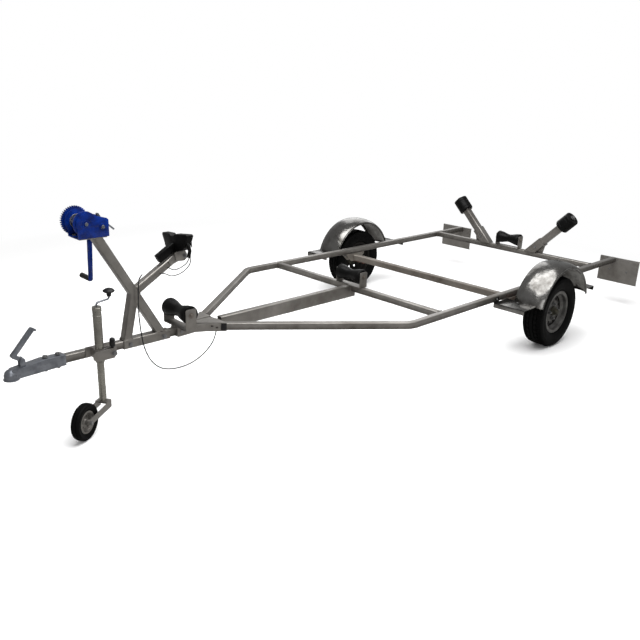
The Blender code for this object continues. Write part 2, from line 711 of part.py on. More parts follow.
def build_coupling(finishes):
    """A pressed channel that swells into the domed ball socket, with its lift lever."""
    rear_top = DRAWBAR_Z + TUBE / 2 + GAP + COUPLING_WALL
    outline = [(COUPLING_REAR, COUPLING_BOTTOM),
               (BALL_AHEAD, BALL_Z - LIP_DROP + COUPLING_WALL),
               (BALL_AHEAD, BALL_Z + DOME_RADIUS * math.cos(math.pi / 6)),
               (BALL_AHEAD - DOME_RADIUS, BALL_Z + DOME_RADIUS),
               (COUPLING_SHOULDER, rear_top),
               (COUPLING_REAR, rear_top)]
    body = slab([outline], COUPLING_WIDTH, (0, 0, 0), UPRIGHT)
    dome = turned([(0, DOME_RADIUS)]
                  + [(DOME_RADIUS * math.sin(math.radians(a)), DOME_RADIUS * math.cos(math.radians(a)))
                     for a in (20, 40, 60, 80, 90)]
                  + [(DOME_RADIUS, COUPLING_WALL - LIP_DROP), (LIP_RADIUS, COUPLING_WALL - LIP_DROP),
                     (LIP_RADIUS, -LIP_DROP), (0, -LIP_DROP)], 24, (BALL_AHEAD, 0, BALL_Z))
    inner_top = rear_top - COUPLING_WALL
    inside = BALL_AHEAD - BALL_RADIUS / 2
    hollow = slab([[(COUPLING_REAR - OVERRUN, COUPLING_BOTTOM - TUBE),
                    (inside, COUPLING_BOTTOM - TUBE),
                    (inside, BALL_Z + BALL_RADIUS / 3),
                    (BALL_AHEAD - DOME_RADIUS, BALL_Z + DOME_RADIUS - COUPLING_WALL),
                    (COUPLING_SHOULDER, inner_top),
                    (COUPLING_REAR - OVERRUN, inner_top)]],
                  COUPLING_WIDTH - 2 * COUPLING_WALL, (0, 0, 0), UPRIGHT)
    mouth_z = -LIP_DROP - OVERRUN
    socket = turned([(0, BALL_RADIUS)]
                    + [(BALL_RADIUS * math.sin(math.radians(a)), BALL_RADIUS * math.cos(math.radians(a)))
                       for a in (30, 60, 90)]
                    + [(BALL_RADIUS, mouth_z), (0, mouth_z)], PIN_STEPS, (BALL_AHEAD, 0, BALL_Z))
    fuse(body, dome)
    ear_base = rear_top - COUPLING_WALL
    ear_radius = 3 * HANDLE_PIN_RADIUS
    for _, sign in BOTH_SIDES:
        ear = link_shape((HANDLE_PIVOT_AHEAD, HANDLE_PIVOT_Z), ear_radius,
                         (HANDLE_PIVOT_AHEAD, ear_base - ear_radius), ear_radius)
        centre_y = sign * (HANDLE_WIDTH / 2 + COUPLING_WALL / 2 + OVERRUN / 2)
        fuse(body, slab([ear], COUPLING_WALL, (0, centre_y, 0), UPRIGHT))
    span = HANDLE_WIDTH + 3 * COUPLING_WALL
    fuse(body, cylinder(HANDLE_PIN_RADIUS, span, (HANDLE_PIVOT_AHEAD, 0, HANDLE_PIVOT_Z), ALONG_Y))
    cut(body, hollow, socket)
    name_part(body, "coupling_body", finishes["zinc"])

    pivot = (HANDLE_PIVOT_AHEAD, HANDLE_PIVOT_Z)
    lever = [(pivot[0] + ahead, pivot[1] + rise) for ahead, rise in HANDLE_SHAPE]
    hole = circle(pivot, HANDLE_PIN_RADIUS + RUNNING_GAP)
    handle = slab([lever, hole], HANDLE_WIDTH - GAP, (0, 0, 0), UPRIGHT)
    name_part(hinge_at(handle, (pivot[0], 0, pivot[1])), "coupling_handle", finishes["zinc"])


def build_axle(finishes):
    """The square torsion axle hangs under the rails and carries an arm at each end."""
    beam = slab([rounded(AXLE_BEAM, AXLE_BEAM, CORNER)], 2 * AXLE_BEAM_END - 2 * GAP,
                (AXLE_BEAM_AHEAD, 0, AXLE_BEAM_Z), ALONG_Y)
    seat_top = FRAME_BOTTOM - GAP
    half = SEAT_LENGTH / 2
    foot = SEAT_FOOT / 2
    seat = [(-half, seat_top), (-half, seat_top - SEAT_PLATE * 2), (-foot, seat_top - SEAT_DEPTH),
            (foot, seat_top - SEAT_DEPTH), (half, seat_top - SEAT_PLATE * 2), (half, seat_top)]
    for _, sign in BOTH_SIDES:
        block = slab([seat], SEAT_WIDTH, (AXLE_BEAM_AHEAD, sign * RAIL_Y, 0), UPRIGHT)
        room = box((SEAT_LENGTH + OVERRUN, SEAT_WIDTH - 2 * SEAT_PLATE, SEAT_DEPTH),
                   (AXLE_BEAM_AHEAD, sign * RAIL_Y, seat_top - SEAT_PLATE - SEAT_DEPTH / 2))
        cut(block, room)
        fuse(beam, block)
    name_part(beam, "axle_beam", finishes["galvanised"])

    for side, sign in BOTH_SIDES:
        outline = link_shape((AXLE_BEAM_AHEAD, AXLE_BEAM_Z), ARM_BEAM_RADIUS,
                             (0, WHEEL_Z), ARM_STUB_RADIUS)
        arm = slab([outline], ARM_THICK, (0, sign * (AXLE_BEAM_END + ARM_THICK / 2), 0), UPRIGHT)
        inner = AXLE_BEAM_END + ARM_THICK / 2
        outer = WHEEL_Y + STUB_REACH
        fuse(arm, cylinder(STUB_RADIUS, outer - inner,
                           (0, sign * (inner + outer) / 2, WHEEL_Z), ALONG_Y))
        name_part(arm, "swing_arm_" + side, finishes["cast"])


def rim_profile():
    """One closed loop round the rim's barrel and its dished disc, outboard up."""
    m = RIM_METAL
    seat_half = RIM_HALF - m
    well_half = RIM_HALF / 3
    barrel = [(FLANGE_RADIUS, RIM_HALF), (FLANGE_RADIUS, seat_half), (BEAD_RADIUS, seat_half),
              (DROP_RADIUS, well_half), (DROP_RADIUS, -well_half),
              (BEAD_RADIUS, -seat_half), (FLANGE_RADIUS, -seat_half), (FLANGE_RADIUS, -RIM_HALF),
              (BEAD_RADIUS - m, -RIM_HALF), (DROP_RADIUS - m, -well_half - m)]
    low = DISC_FACE - DISC_METAL
    disc = [(DROP_RADIUS - m, low - 5 * m), (HUB_FLANGE, low), (DISC_BORE, low),
            (DISC_BORE, DISC_FACE), (HUB_FLANGE, DISC_FACE), (DROP_RADIUS - m, DISC_FACE - 4 * m)]
    outside = [(DROP_RADIUS - m, well_half + m), (BEAD_RADIUS - m, RIM_HALF)]
    return barrel + disc + outside


def tyre_profile():
    half = TYRE_WIDTH / 2
    bead = RIM_HALF - RIM_METAL - GAP
    over = FLANGE_RADIUS + GAP * 2
    right = [(TYRE_RADIUS, half * 0.25), (TYRE_RADIUS - 2 * SHEET, half * 0.72),
             (TYRE_RADIUS - 8 * SHEET, half * 0.93), (TYRE_RADIUS - 24 * SHEET, half),
             (FLANGE_RADIUS + 8 * SHEET, half * 0.93), (over, bead + 2 * RIM_METAL),
             (over, bead), (BEAD_RADIUS + GAP, bead)]
    left = [(radius, -height) for radius, height in reversed(right)]
    return (right + left)[::-1]


def build_wheels(finishes):
    for side, sign in BOTH_SIDES:
        centre = (0, sign * WHEEL_Y, WHEEL_Z)
        outboard = ALONG_Y if sign > 0 else ALONG_Y @ Matrix.Rotation(math.pi, 4, "X")
        rim = turned(rim_profile(), WHEEL_STEPS, centre, outboard, closed=True, flat_down=True)
        for i in range(VENT_COUNT):
            angle = math.tau * i / VENT_COUNT
            spot = Vector((VENT_CIRCLE * math.cos(angle), VENT_CIRCLE * math.sin(angle), DISC_FACE))
            hole = cylinder(VENT_RADIUS, 8 * DISC_METAL, (0, 0, 0), LEVEL, 6)
            hole.matrix_world = Matrix.Translation(Vector(centre)) @ outboard @ Matrix.Translation(spot)
            cut(rim, hole)
        name_part(rim, "rim_" + side, finishes["silver"])
        tyre = turned(tyre_profile(), WHEEL_STEPS, centre, outboard, closed=True, flat_down=True)
        name_part(tyre, "tyre_" + side, finishes["rubber"])
        low = DISC_FACE - DISC_METAL - GAP
        nose = DISC_BORE - 2 * GAP
        bore = STUB_RADIUS + RUNNING_GAP
        hub = turned([(0, HUB_CAP), (nose * 0.6, HUB_CAP), (nose * 0.8, HUB_CAP - 2 * SHEET),
                      (nose * 0.8, HUB_CAP * 0.6), (nose, HUB_CAP * 0.6 - SHEET), (nose, low), (HUB_FLANGE, low),
                      (HUB_FLANGE, low - 5 * SHEET), (HUB_BARREL, low - 6 * SHEET),
                      (HUB_BARREL, HUB_INNER), (bore, HUB_INNER), (bore, STUB_REACH + RUNNING_GAP * 2),
                      (0, STUB_REACH + RUNNING_GAP * 2)], ROLLER_STEPS, centre, outboard)
        name_part(hub, "hub_" + side, finishes["cast"])


def build_mudguards(finishes):
    """A domed steel arch over each wheel, with a flat stay to the rail at each end."""
    half = GUARD_WIDTH / 2
    section = [(GUARD_RADIUS - GUARD_DOME - GUARD_LIP, -half)]
    for i in range(GUARD_POINTS + 1):
        share = math.sin(math.pi * (i / GUARD_POINTS - 1 / 2))
        section.append((GUARD_RADIUS - GUARD_DOME * abs(share) ** GUARD_DOME_POWER, half * share))
    section.append((GUARD_RADIUS - GUARD_DOME - GUARD_LIP, half))
    for side, sign in BOTH_SIDES:
        mesh = bpy.data.meshes.new("guard")
        start = Matrix.Rotation(GUARD_FRONT_ANGLE, 4, "Y").inverted()
        mesh.from_pydata([start @ Vector((radius, across, 0)) for radius, across in section],
                         [(i, i + 1) for i in range(len(section) - 1)], [])
        guard = link(bpy.data.objects.new("guard", mesh), (0, sign * WHEEL_Y, WHEEL_Z))
        sweep = guard.modifiers.new("sweep", "SCREW")
        sweep.axis = "Y"
        sweep.angle = GUARD_FRONT_ANGLE - GUARD_REAR_ANGLE
        sweep.steps = GUARD_STEPS
        sweep.render_steps = GUARD_STEPS
        sheet = guard.modifiers.new("sheet", "SOLIDIFY")
        sheet.thickness = SHEET
        sheet.offset = 0
        sheet.use_even_offset = True
        inner = RAIL_Y + TUBE / 2 + GAP
        outer = WHEEL_Y + half * STAY_REACH_SHARE
        low = FRAME_BOTTOM - STAY_DROP
        level = low + STAY_FOLD - STAY_METAL / 2
        edge = math.sqrt(GUARD_RADIUS ** 2 - (level - WHEEL_Z) ** 2) - GUARD_DOME / 2
        for end in (1, -1):
            stay = box((STAY_WIDTH, outer - inner, STAY_METAL),
                       (end * (edge + STAY_WIDTH / 2), sign * (inner + outer) / 2, level))
            fold = box((STAY_METAL, outer - inner, STAY_FOLD),
                       (end * (edge + STAY_WIDTH - STAY_METAL / 2), sign * (inner + outer) / 2, low + STAY_FOLD / 2))
            foot_top = FRAME_TOP - CORNER
            foot = box((STAY_FOOT, STAY_METAL, foot_top - low),
                       (end * (edge + STAY_WIDTH - STAY_FOOT / 2), sign * (inner + STAY_METAL / 2),
                        (foot_top + low) / 2))
            fuse(guard, stay, fold, foot)
        name_part(guard, "mudguard_" + side, finishes["bright_zinc"])


def build_lamp_plates(finishes):
    width = LAMP_PLATE_OUT - LAMP_PLATE_IN
    height = LAMP_PLATE_TOP - LAMP_PLATE_LOW
    middle = (LAMP_PLATE_OUT + LAMP_PLATE_IN) / 2
    middle_z = (LAMP_PLATE_TOP + LAMP_PLATE_LOW) / 2
    for side, sign in BOTH_SIDES:
        plate = box((LAMP_PLATE_METAL, width, height), (-LAMP_PLATE_BEHIND, sign * middle, middle_z))
        for height_end, step in ((LAMP_PLATE_TOP, -1), (LAMP_PLATE_LOW, 1)):
            fuse(plate, box((LAMP_FOLD, width, LAMP_PLATE_METAL),
                            (-LAMP_PLATE_BEHIND - LAMP_FOLD / 2, sign * middle,
                             height_end + step * LAMP_PLATE_METAL / 2)))
        name_part(plate, "lamp_plate_" + side, finishes["galvanised"])
        front = -LAMP_PLATE_BEHIND - LAMP_PLATE_METAL / 2 - GAP
        depth = TAIL_BEHIND + front
        lamp = slab([rounded(LAMP_HEIGHT, LAMP_LENGTH, LAMP_FILLET, 2)], depth,
                    (front - depth / 2, sign * middle, middle_z), ALONG_X)
        edge = lamp.modifiers.new("edge", "BEVEL")
        edge.width = LAMP_FILLET / 2
        edge.segments = 1
        name_part(lamp, "tail_lamp_" + side, finishes["lens"])


def keel_profile():
    """An hourglass roller with a bore, turned along its own axis."""
    half = KEEL_ROLLER_LENGTH / 2
    bore = KEEL_PIN_RADIUS + RUNNING_GAP
    outer = [(KEEL_ROLLER_RADIUS - SHEET * 2, half), (KEEL_ROLLER_RADIUS, half - SHEET * 2)]
    waist_points = 4
    run = half - KEEL_ROLLER_LENGTH / 6
    for i in range(waist_points + 1):
        across = run - 2 * run * i / waist_points
        swell = (1 - math.cos(math.pi * across / run)) / 2
        outer.append((KEEL_WAIST_RADIUS + (KEEL_ROLLER_RADIUS - KEEL_WAIST_RADIUS) * swell, across))
    outer += [(KEEL_ROLLER_RADIUS, SHEET * 2 - half), (KEEL_ROLLER_RADIUS - SHEET * 2, -half)]
    return outer + [(bore, -half), (bore, half)]


def build_keel_rollers(finishes):
    """Three hourglass rollers on the centre line, each in a folded U bracket."""
    seats = (
        # place, ahead, axle height, seat height
        ("front", FRONT_ROLLER_AHEAD, FRONT_ROLLER_Z, SLEEVE_TOP),
        ("middle", FRONT_CROSS_AHEAD, MIDDLE_ROLLER_Z, FRAME_TOP),
        ("rear", REAR_CROSS_AHEAD, REAR_ROLLER_Z, FRAME_TOP),
    )
    for place, ahead, axle_z, seat_z in seats:
        low = seat_z + GAP
        ear_inner = KEEL_ROLLER_LENGTH / 2 + EAR_PLAY
        base = box((EAR_WIDTH + 2 * SHEET, 2 * ear_inner + EAR_METAL, EAR_METAL),
                   (ahead, 0, low + EAR_METAL / 2))
        ear = [(ahead - EAR_WIDTH / 2, low + GAP), (ahead + EAR_WIDTH / 2, low + GAP)] \
            + arc((ahead, axle_z), EAR_WIDTH / 2, 0, math.pi, 6)
        for _, sign in BOTH_SIDES:
            fuse(base, slab([ear], EAR_METAL, (0, sign * (ear_inner + EAR_METAL / 2), 0), UPRIGHT))
        pin_length = 2 * (ear_inner + 2 * EAR_METAL)
        fuse(base, cylinder(KEEL_PIN_RADIUS, pin_length, (ahead, 0, axle_z), ALONG_Y))
        name_part(base, "keel_bracket_" + place, finishes["galvanised"])
        roller = turned(keel_profile(), ROLLER_STEPS, (ahead, 0, axle_z), ALONG_Y,
                        closed=True, flat_down=True)
        name_part(roller, "keel_roller_" + place, finishes["rubber"])


def side_axis(sign):
    """The base point, direction and length of one side roller's arm."""
    base = Vector((REAR_CROSS_AHEAD, sign * SIDE_ARM_BASE_Y, FRAME_TOP))
    roller = Vector((REAR_CROSS_AHEAD, sign * SIDE_ROLLER_Y, SIDE_ROLLER_Z))
    return base, (roller - base).normalized(), (roller - base).length


def build_side_rollers(finishes):
    """Two arms lean out from the rear cross-member, each with a roller on its end."""
    for side, sign in BOTH_SIDES:
        base, heading, reach = side_axis(sign)
        turn = Matrix.Rotation(math.atan2(-heading.y, heading.z), 4, "X")
        stem_top = reach - SIDE_ROLLER_LENGTH / 2 - EAR_PLAY
        socket = slab([rounded(SIDE_SOCKET, SIDE_SOCKET, CORNER)], SIDE_SOCKET_LENGTH,
                      base + heading * (SIDE_SOCKET_LENGTH / 2 - SIDE_SOCKET / 2), turn)
        stem = slab([rounded(SIDE_STEM, SIDE_STEM, CORNER)], stem_top - SIDE_SOCKET / 2,
                    base + heading * (stem_top + SIDE_SOCKET / 2) / 2, turn)
        cap = box((SIDE_CAP, SIDE_CAP, SIDE_CAP_METAL), base + heading * (stem_top - SIDE_CAP_METAL / 2), turn)
        pin = cylinder(SIDE_PIN_RADIUS, SIDE_ROLLER_LENGTH + 6 * EAR_PLAY + EAR_METAL,
                       base + heading * (reach + EAR_METAL / 2), turn)
        rib = [(base.y, FRAME_TOP), (base.y + sign * SIDE_SOCKET * 1.5, FRAME_TOP),
               (base.y + sign * SIDE_SOCKET * 1.7, FRAME_TOP + SIDE_SOCKET * 0.9)]
        web = slab([rib], EAR_METAL, (REAR_CROSS_AHEAD, 0, 0),
                   Matrix.Rotation(math.pi / 2, 4, "Z") @ UPRIGHT)
        fuse(socket, stem, cap, pin, web)
        below = box((2 * SIDE_SOCKET, 4 * SIDE_SOCKET, 2 * SIDE_SOCKET),
                    (REAR_CROSS_AHEAD, sign * SIDE_ARM_BASE_Y, FRAME_TOP + GAP - SIDE_SOCKET))
        cut(socket, below)
        name_part(socket, "side_arm_" + side, finishes["galvanised"])
        half = SIDE_ROLLER_LENGTH / 2
        bore = SIDE_PIN_RADIUS + RUNNING_GAP
        fillet = SIDE_ROLLER_RADIUS / 6
        profile = [(SIDE_ROLLER_RADIUS - fillet, half), (SIDE_ROLLER_RADIUS, half - fillet),
                   (SIDE_ROLLER_RADIUS, fillet - half), (SIDE_ROLLER_RADIUS - fillet, -half),
                   (bore, -half), (bore, half)]
        roller = turned(profile, ROLLER_STEPS, base + heading * reach, turn, closed=True)
        name_part(roller, "side_roller_" + side, finishes["rubber"])


def bar_between(start, end, width, extra=0.0):
    """A solid square bar in the XZ plane from one (x, z) point to another."""
    a = Vector((start[0], 0, start[1]))
    b = Vector((end[0], 0, end[1]))
    heading = (b - a).normalized()
    turn = Matrix.Rotation(math.atan2(heading.x, heading.z), 4, "Y")
    return slab([rounded(width, width, CORNER)], (b - a).length + extra,
                (a + b) / 2 + heading * extra / 2, turn)


def build_winch_post(finishes):
    """A leaning post, its front leg and the bow arm, welded to a sleeve on the drawbar."""
    length = POST_SLEEVE_FRONT - POST_SLEEVE_REAR
    wall = (SLEEVE_SIDE - TUBE) / 2 - 2 * GAP
    foot_z = SLEEVE_TOP - wall / 2
    knot = (JUNCTION_AHEAD, JUNCTION_Z)
    post = bar_between((POST_FOOT_AHEAD, SLEEVE_TOP), (POST_TOP_AHEAD, WINCH_FLOOR), POST_TUBE)
    leg = bar_between((POST_LEG_AHEAD, SLEEVE_TOP), knot, POST_TUBE)
    arm = bar_between(knot, (BOW_ARM_AHEAD, BOW_ARM_Z), ARM_TUBE)
    bore = bar_between(knot, (BOW_ARM_AHEAD, BOW_ARM_Z), ARM_TUBE - 2 * WALL, TUBE)
    fuse(post, leg, arm)
    long_cut = 4 * POST_TUBE
    above = box((long_cut, long_cut, long_cut),
                (POST_TOP_AHEAD, 0, WINCH_FLOOR - GAP - CAP_PLATE / 2 + long_cut / 2))
    below = box((POST_LEG_AHEAD, long_cut, long_cut), (POST_LEG_AHEAD, 0, foot_z - long_cut / 2))
    cut(post, above, below)
    hollow_start = POST_TUBE
    inner = Vector((BOW_ARM_AHEAD - knot[0], 0, BOW_ARM_Z - knot[1])).normalized() * hollow_start
    bore.location += inner
    cut(post, bore)
    sleeve = square_tube(SLEEVE_SIDE, SLEEVE_SIDE, wall, length,
                         (POST_SLEEVE_REAR + length / 2, 0, DRAWBAR_Z), ALONG_X)
    cap = box((CAP_FRONT - CAP_REAR, 2 * CAP_HALF, CAP_PLATE),
              ((CAP_FRONT + CAP_REAR) / 2, 0, WINCH_FLOOR - GAP - CAP_PLATE / 2))
    fuse(post, sleeve, cap)
    name_part(post, "winch_post", finishes["galvanised"])


def gear_outline(teeth, module, centre, phase):
    """Straight-flanked teeth through the involute's points at the root and the tip."""
    pitch = module * teeth / 2
    base = pitch * math.cos(PRESSURE_ANGLE)
    tip = pitch + ADDENDUM_SHARE * module
    root = pitch - DEDENDUM_SHARE * module
    involute_at_pitch = math.tan(PRESSURE_ANGLE) - PRESSURE_ANGLE
    half_tooth = math.pi / (2 * teeth) * (1 - BACKLASH_SHARE)
    flank = []
    for radius in (root, tip):
        pressure = math.acos(min(1.0, base / radius))
        turn = half_tooth + involute_at_pitch - (math.tan(pressure) - pressure)
        flank.append((radius, turn))
    points = []
    for tooth in range(teeth):
        middle = phase + math.tau * tooth / teeth
        for radius, turn in flank:
            points.append((radius, middle - turn))
        for radius, turn in reversed(flank):
            points.append((radius, middle + turn))
    return [(centre[0] + radius * math.cos(a), centre[1] + radius * math.sin(a)) for radius, a in points]


def build_winch(finishes):
    """A folded frame, the drum with its ring gear, and the crank with its pinion."""
    drum = (DRUM_AHEAD, DRUM_Z)
    pinion = (PINION_AHEAD, PINION_Z)
    spread = math.hypot(drum[0] - pinion[0], drum[1] - pinion[1])
    module = 2 * spread / (GEAR_TEETH + PINION_TEETH)
    cheek_y = WINCH_HALF - WINCH_SHEET / 2
    floor = box((WINCH_FRONT - WINCH_REAR, 2 * WINCH_HALF, WINCH_SHEET),
                ((WINCH_FRONT + WINCH_REAR) / 2, 0, WINCH_FLOOR + WINCH_SHEET / 2))
    front_angle = -math.acos((WINCH_FRONT - DRUM_AHEAD) / CHEEK_RADIUS)
    outline = [(WINCH_REAR, WINCH_FLOOR), (WINCH_FRONT, WINCH_FLOOR)] \
        + arc(drum, CHEEK_RADIUS, front_angle, math.radians(115), 10) \
        + [(WINCH_REAR + PINION_SHAFT, CHEEK_REAR_TOP), (WINCH_REAR, CHEEK_REAR_TOP - PINION_SHAFT)]
    holes = [circle(drum, DRUM_SHAFT + RUNNING_GAP), circle(pinion, PINION_SHAFT + RUNNING_GAP)]
    for _, sign in BOTH_SIDES:
        fuse(floor, slab([outline] + holes, WINCH_SHEET, (0, sign * cheek_y, 0), UPRIGHT))
    name_part(floor, "winch_frame", finishes["blue"])

    shaft_end = WINCH_HALF + SHAFT_END
    gear_near = WINCH_HALF + GEAR_PLAY
    gear_far = gear_near + GEAR_WIDTH
    flange_out = WINCH_HALF - WINCH_SHEET - GEAR_PLAY
    barrel = turned([(0, shaft_end), (DRUM_SHAFT, shaft_end), (DRUM_SHAFT, flange_out),
                     (DRUM_FLANGE, flange_out), (DRUM_FLANGE, flange_out - FLANGE_METAL),
                     (DRUM_BARREL, flange_out - FLANGE_METAL), (DRUM_BARREL, FLANGE_METAL - flange_out),
                     (DRUM_FLANGE, FLANGE_METAL - flange_out), (DRUM_FLANGE, -flange_out),
                     (DRUM_SHAFT, -flange_out), (DRUM_SHAFT, -gear_far - SHEET), (0, -gear_far - SHEET)],
                    ROLLER_STEPS, (drum[0], 0, drum[1]), ALONG_Y, flat_down=True)
    heading = math.atan2(pinion[1] - drum[1], pinion[0] - drum[0])
    gear = slab([gear_outline(GEAR_TEETH, module, drum, heading)], GEAR_WIDTH,
                (0, -gear_near - GEAR_WIDTH / 2, 0), UPRIGHT)
    fuse(barrel, gear)
    name_part(barrel, "winch_drum", finishes["blue"])

    arm_y = gear_far + CRANK_PLAY
    spindle = turned([(0, shaft_end), (PINION_SHAFT, shaft_end), (PINION_SHAFT, -arm_y - CRANK_METAL),
                      (0, -arm_y - CRANK_METAL)], PIN_STEPS, (pinion[0], 0, pinion[1]), ALONG_Y, flat_down=True)
    half_pitch = math.pi / PINION_TEETH
    small = slab([gear_outline(PINION_TEETH, module, pinion, heading + math.pi + half_pitch)], GEAR_WIDTH,
                 (0, -gear_near - GEAR_WIDTH / 2, 0), UPRIGHT)
    end = (pinion[0] + CRANK_REACH * math.sin(CRANK_LEAN), pinion[1] - CRANK_REACH * math.cos(CRANK_LEAN))
    bar = link_shape(pinion, CRANK_WIDTH / 2 + SHEET, end, CRANK_WIDTH / 2)
    arm = slab([bar], CRANK_METAL, (0, -arm_y - CRANK_METAL / 2, 0), UPRIGHT)
    pin_length = GRIP_LENGTH
    pin = cylinder(GRIP_PIN, pin_length, (end[0], -arm_y - pin_length / 2, end[1]), ALONG_Y)
    fuse(spindle, small, arm, pin)
    name_part(spindle, "winch_crank", finishes["blue"])

    grip_in = arm_y + CRANK_METAL + 2 * RUNNING_GAP
    bore = GRIP_PIN + RUNNING_GAP
    grip = turned([(GRIP_RADIUS * 0.8, 0), (GRIP_RADIUS, -GRIP_LENGTH * 0.08), (GRIP_RADIUS * 0.92, -GRIP_LENGTH / 2),
                   (GRIP_RADIUS, -GRIP_LENGTH * 0.92), (GRIP_RADIUS * 0.8, -GRIP_LENGTH),
                   (0, -GRIP_LENGTH), (0, -GRIP_LENGTH + CRANK_METAL / 2), (bore, -GRIP_LENGTH + CRANK_METAL / 2),
                   (bore, 0)], PIN_STEPS, (end[0], -grip_in, end[1]), ALONG_Y, closed=True, flat_down=True)
    name_part(grip, "crank_grip", finishes["plastic"])

    pawl_at = (WINCH_REAR + 3 * PAWL_PIN, CHEEK_REAR_TOP - 5 * PAWL_PIN)
    inside = WINCH_HALF - WINCH_SHEET - GAP
    pawl = cylinder(PAWL_PIN, 2 * inside, (pawl_at[0], 0, pawl_at[1]), ALONG_Y, 12)
    toe = slab([link_shape(pawl_at, 2 * PAWL_PIN, (pawl_at[0] + 4 * PAWL_PIN, CHEEK_REAR_TOP + 3 * PAWL_PIN),
                           PAWL_PIN * 1.5)], PAWL_WIDTH, (0, 0, 0), UPRIGHT)
    tail = round_tube([(pawl_at[0], 0, pawl_at[1]),
                       (WINCH_REAR - 5 * PAWL_PIN, 0, pawl_at[1] - 5 * PAWL_PIN),
                       (WINCH_REAR - 13 * PAWL_PIN, 0, pawl_at[1] - 12 * PAWL_PIN)], PAWL_ROD)
    name_part(fuse(pawl, toe, tail), "winch_pawl", finishes["zinc"])


def build_bow_stop(finishes):
    """A rubber V on a pad on top of the bow arm, and the plates at the arm's end."""
    knot = (JUNCTION_AHEAD, JUNCTION_Z)
    along = Vector((BOW_ARM_AHEAD - knot[0], 0, BOW_ARM_Z - knot[1])).normalized()
    up = Vector((along.z, 0, -along.x))
    end = Vector((BOW_ARM_AHEAD, 0, BOW_ARM_Z))
    plate = [(end.x + ahead, end.z + rise) for ahead, rise in STOP_PLATE]
    plate_y = ARM_TUBE / 2 + GAP + CHEEK_PLATE / 2
    left, right = (slab([plate], CHEEK_PLATE, (0, sign * plate_y, 0), UPRIGHT) for _, sign in BOTH_SIDES)
    bolt_span = 2 * plate_y + 4 * CHEEK_PLATE
    bolt = cylinder(STOP_BOLT, bolt_span, end + Vector((STOP_BOLT_BACK, 0, STOP_BOLT_RISE)), ALONG_Y)
    name_part(fuse(left, right, bolt), "bow_stop_bracket", finishes["galvanised"])

    room = plate_y + CHEEK_PLATE
    outline = []
    for sign in (1, -1):
        half = [(room, STOP_WAIST_Z + GAP), (room, STOP_LOW_Z), (STOP_LOW_HALF - PAD_RISE / 4, STOP_LOW_Z),
                (STOP_LOW_HALF, STOP_LOW_Z + PAD_RISE / 4), (STOP_WAIST_HALF, STOP_WAIST_Z),
                (STOP_TOP_HALF, STOP_TOP_Z - PAD_RISE / 4), (STOP_TOP_HALF - PAD_RISE / 4, STOP_TOP_Z)]
        outline += [(sign * across, height) for across, height in half[::sign]]
    facing_back = Matrix.Rotation(math.pi / 2, 4, "Z") @ UPRIGHT
    block = slab([outline], STOP_THICK, (STOP_AHEAD + STOP_THICK / 2, 0, 0), facing_back)
    tall = 2 * (STOP_TOP_Z - STOP_LOW_Z)
    groove = slab([[(STOP_AHEAD - OVERRUN, -STOP_TOP_HALF), (STOP_AHEAD - OVERRUN, STOP_TOP_HALF),
                    (STOP_AHEAD, STOP_WAIST_HALF), (STOP_AHEAD + STOP_VEE, 0),
                    (STOP_AHEAD, -STOP_WAIST_HALF)]], tall, (0, 0, STOP_WAIST_Z))
    lean = Matrix.Rotation(math.atan2(along.x, along.z), 4, "Y")
    rest = ARM_TUBE / 2 + GAP
    pad_mid = end + along * (PAD_BACK - PAD_LENGTH / 2) + up * (rest + PAD_RISE / 2)
    pad = slab([rounded(PAD_RISE, ARM_TUBE - 2 * GAP, CORNER)], PAD_LENGTH, pad_mid, lean)
    name_part(cut(fuse(block, pad), groove), "bow_stop_block", finishes["rubber"])


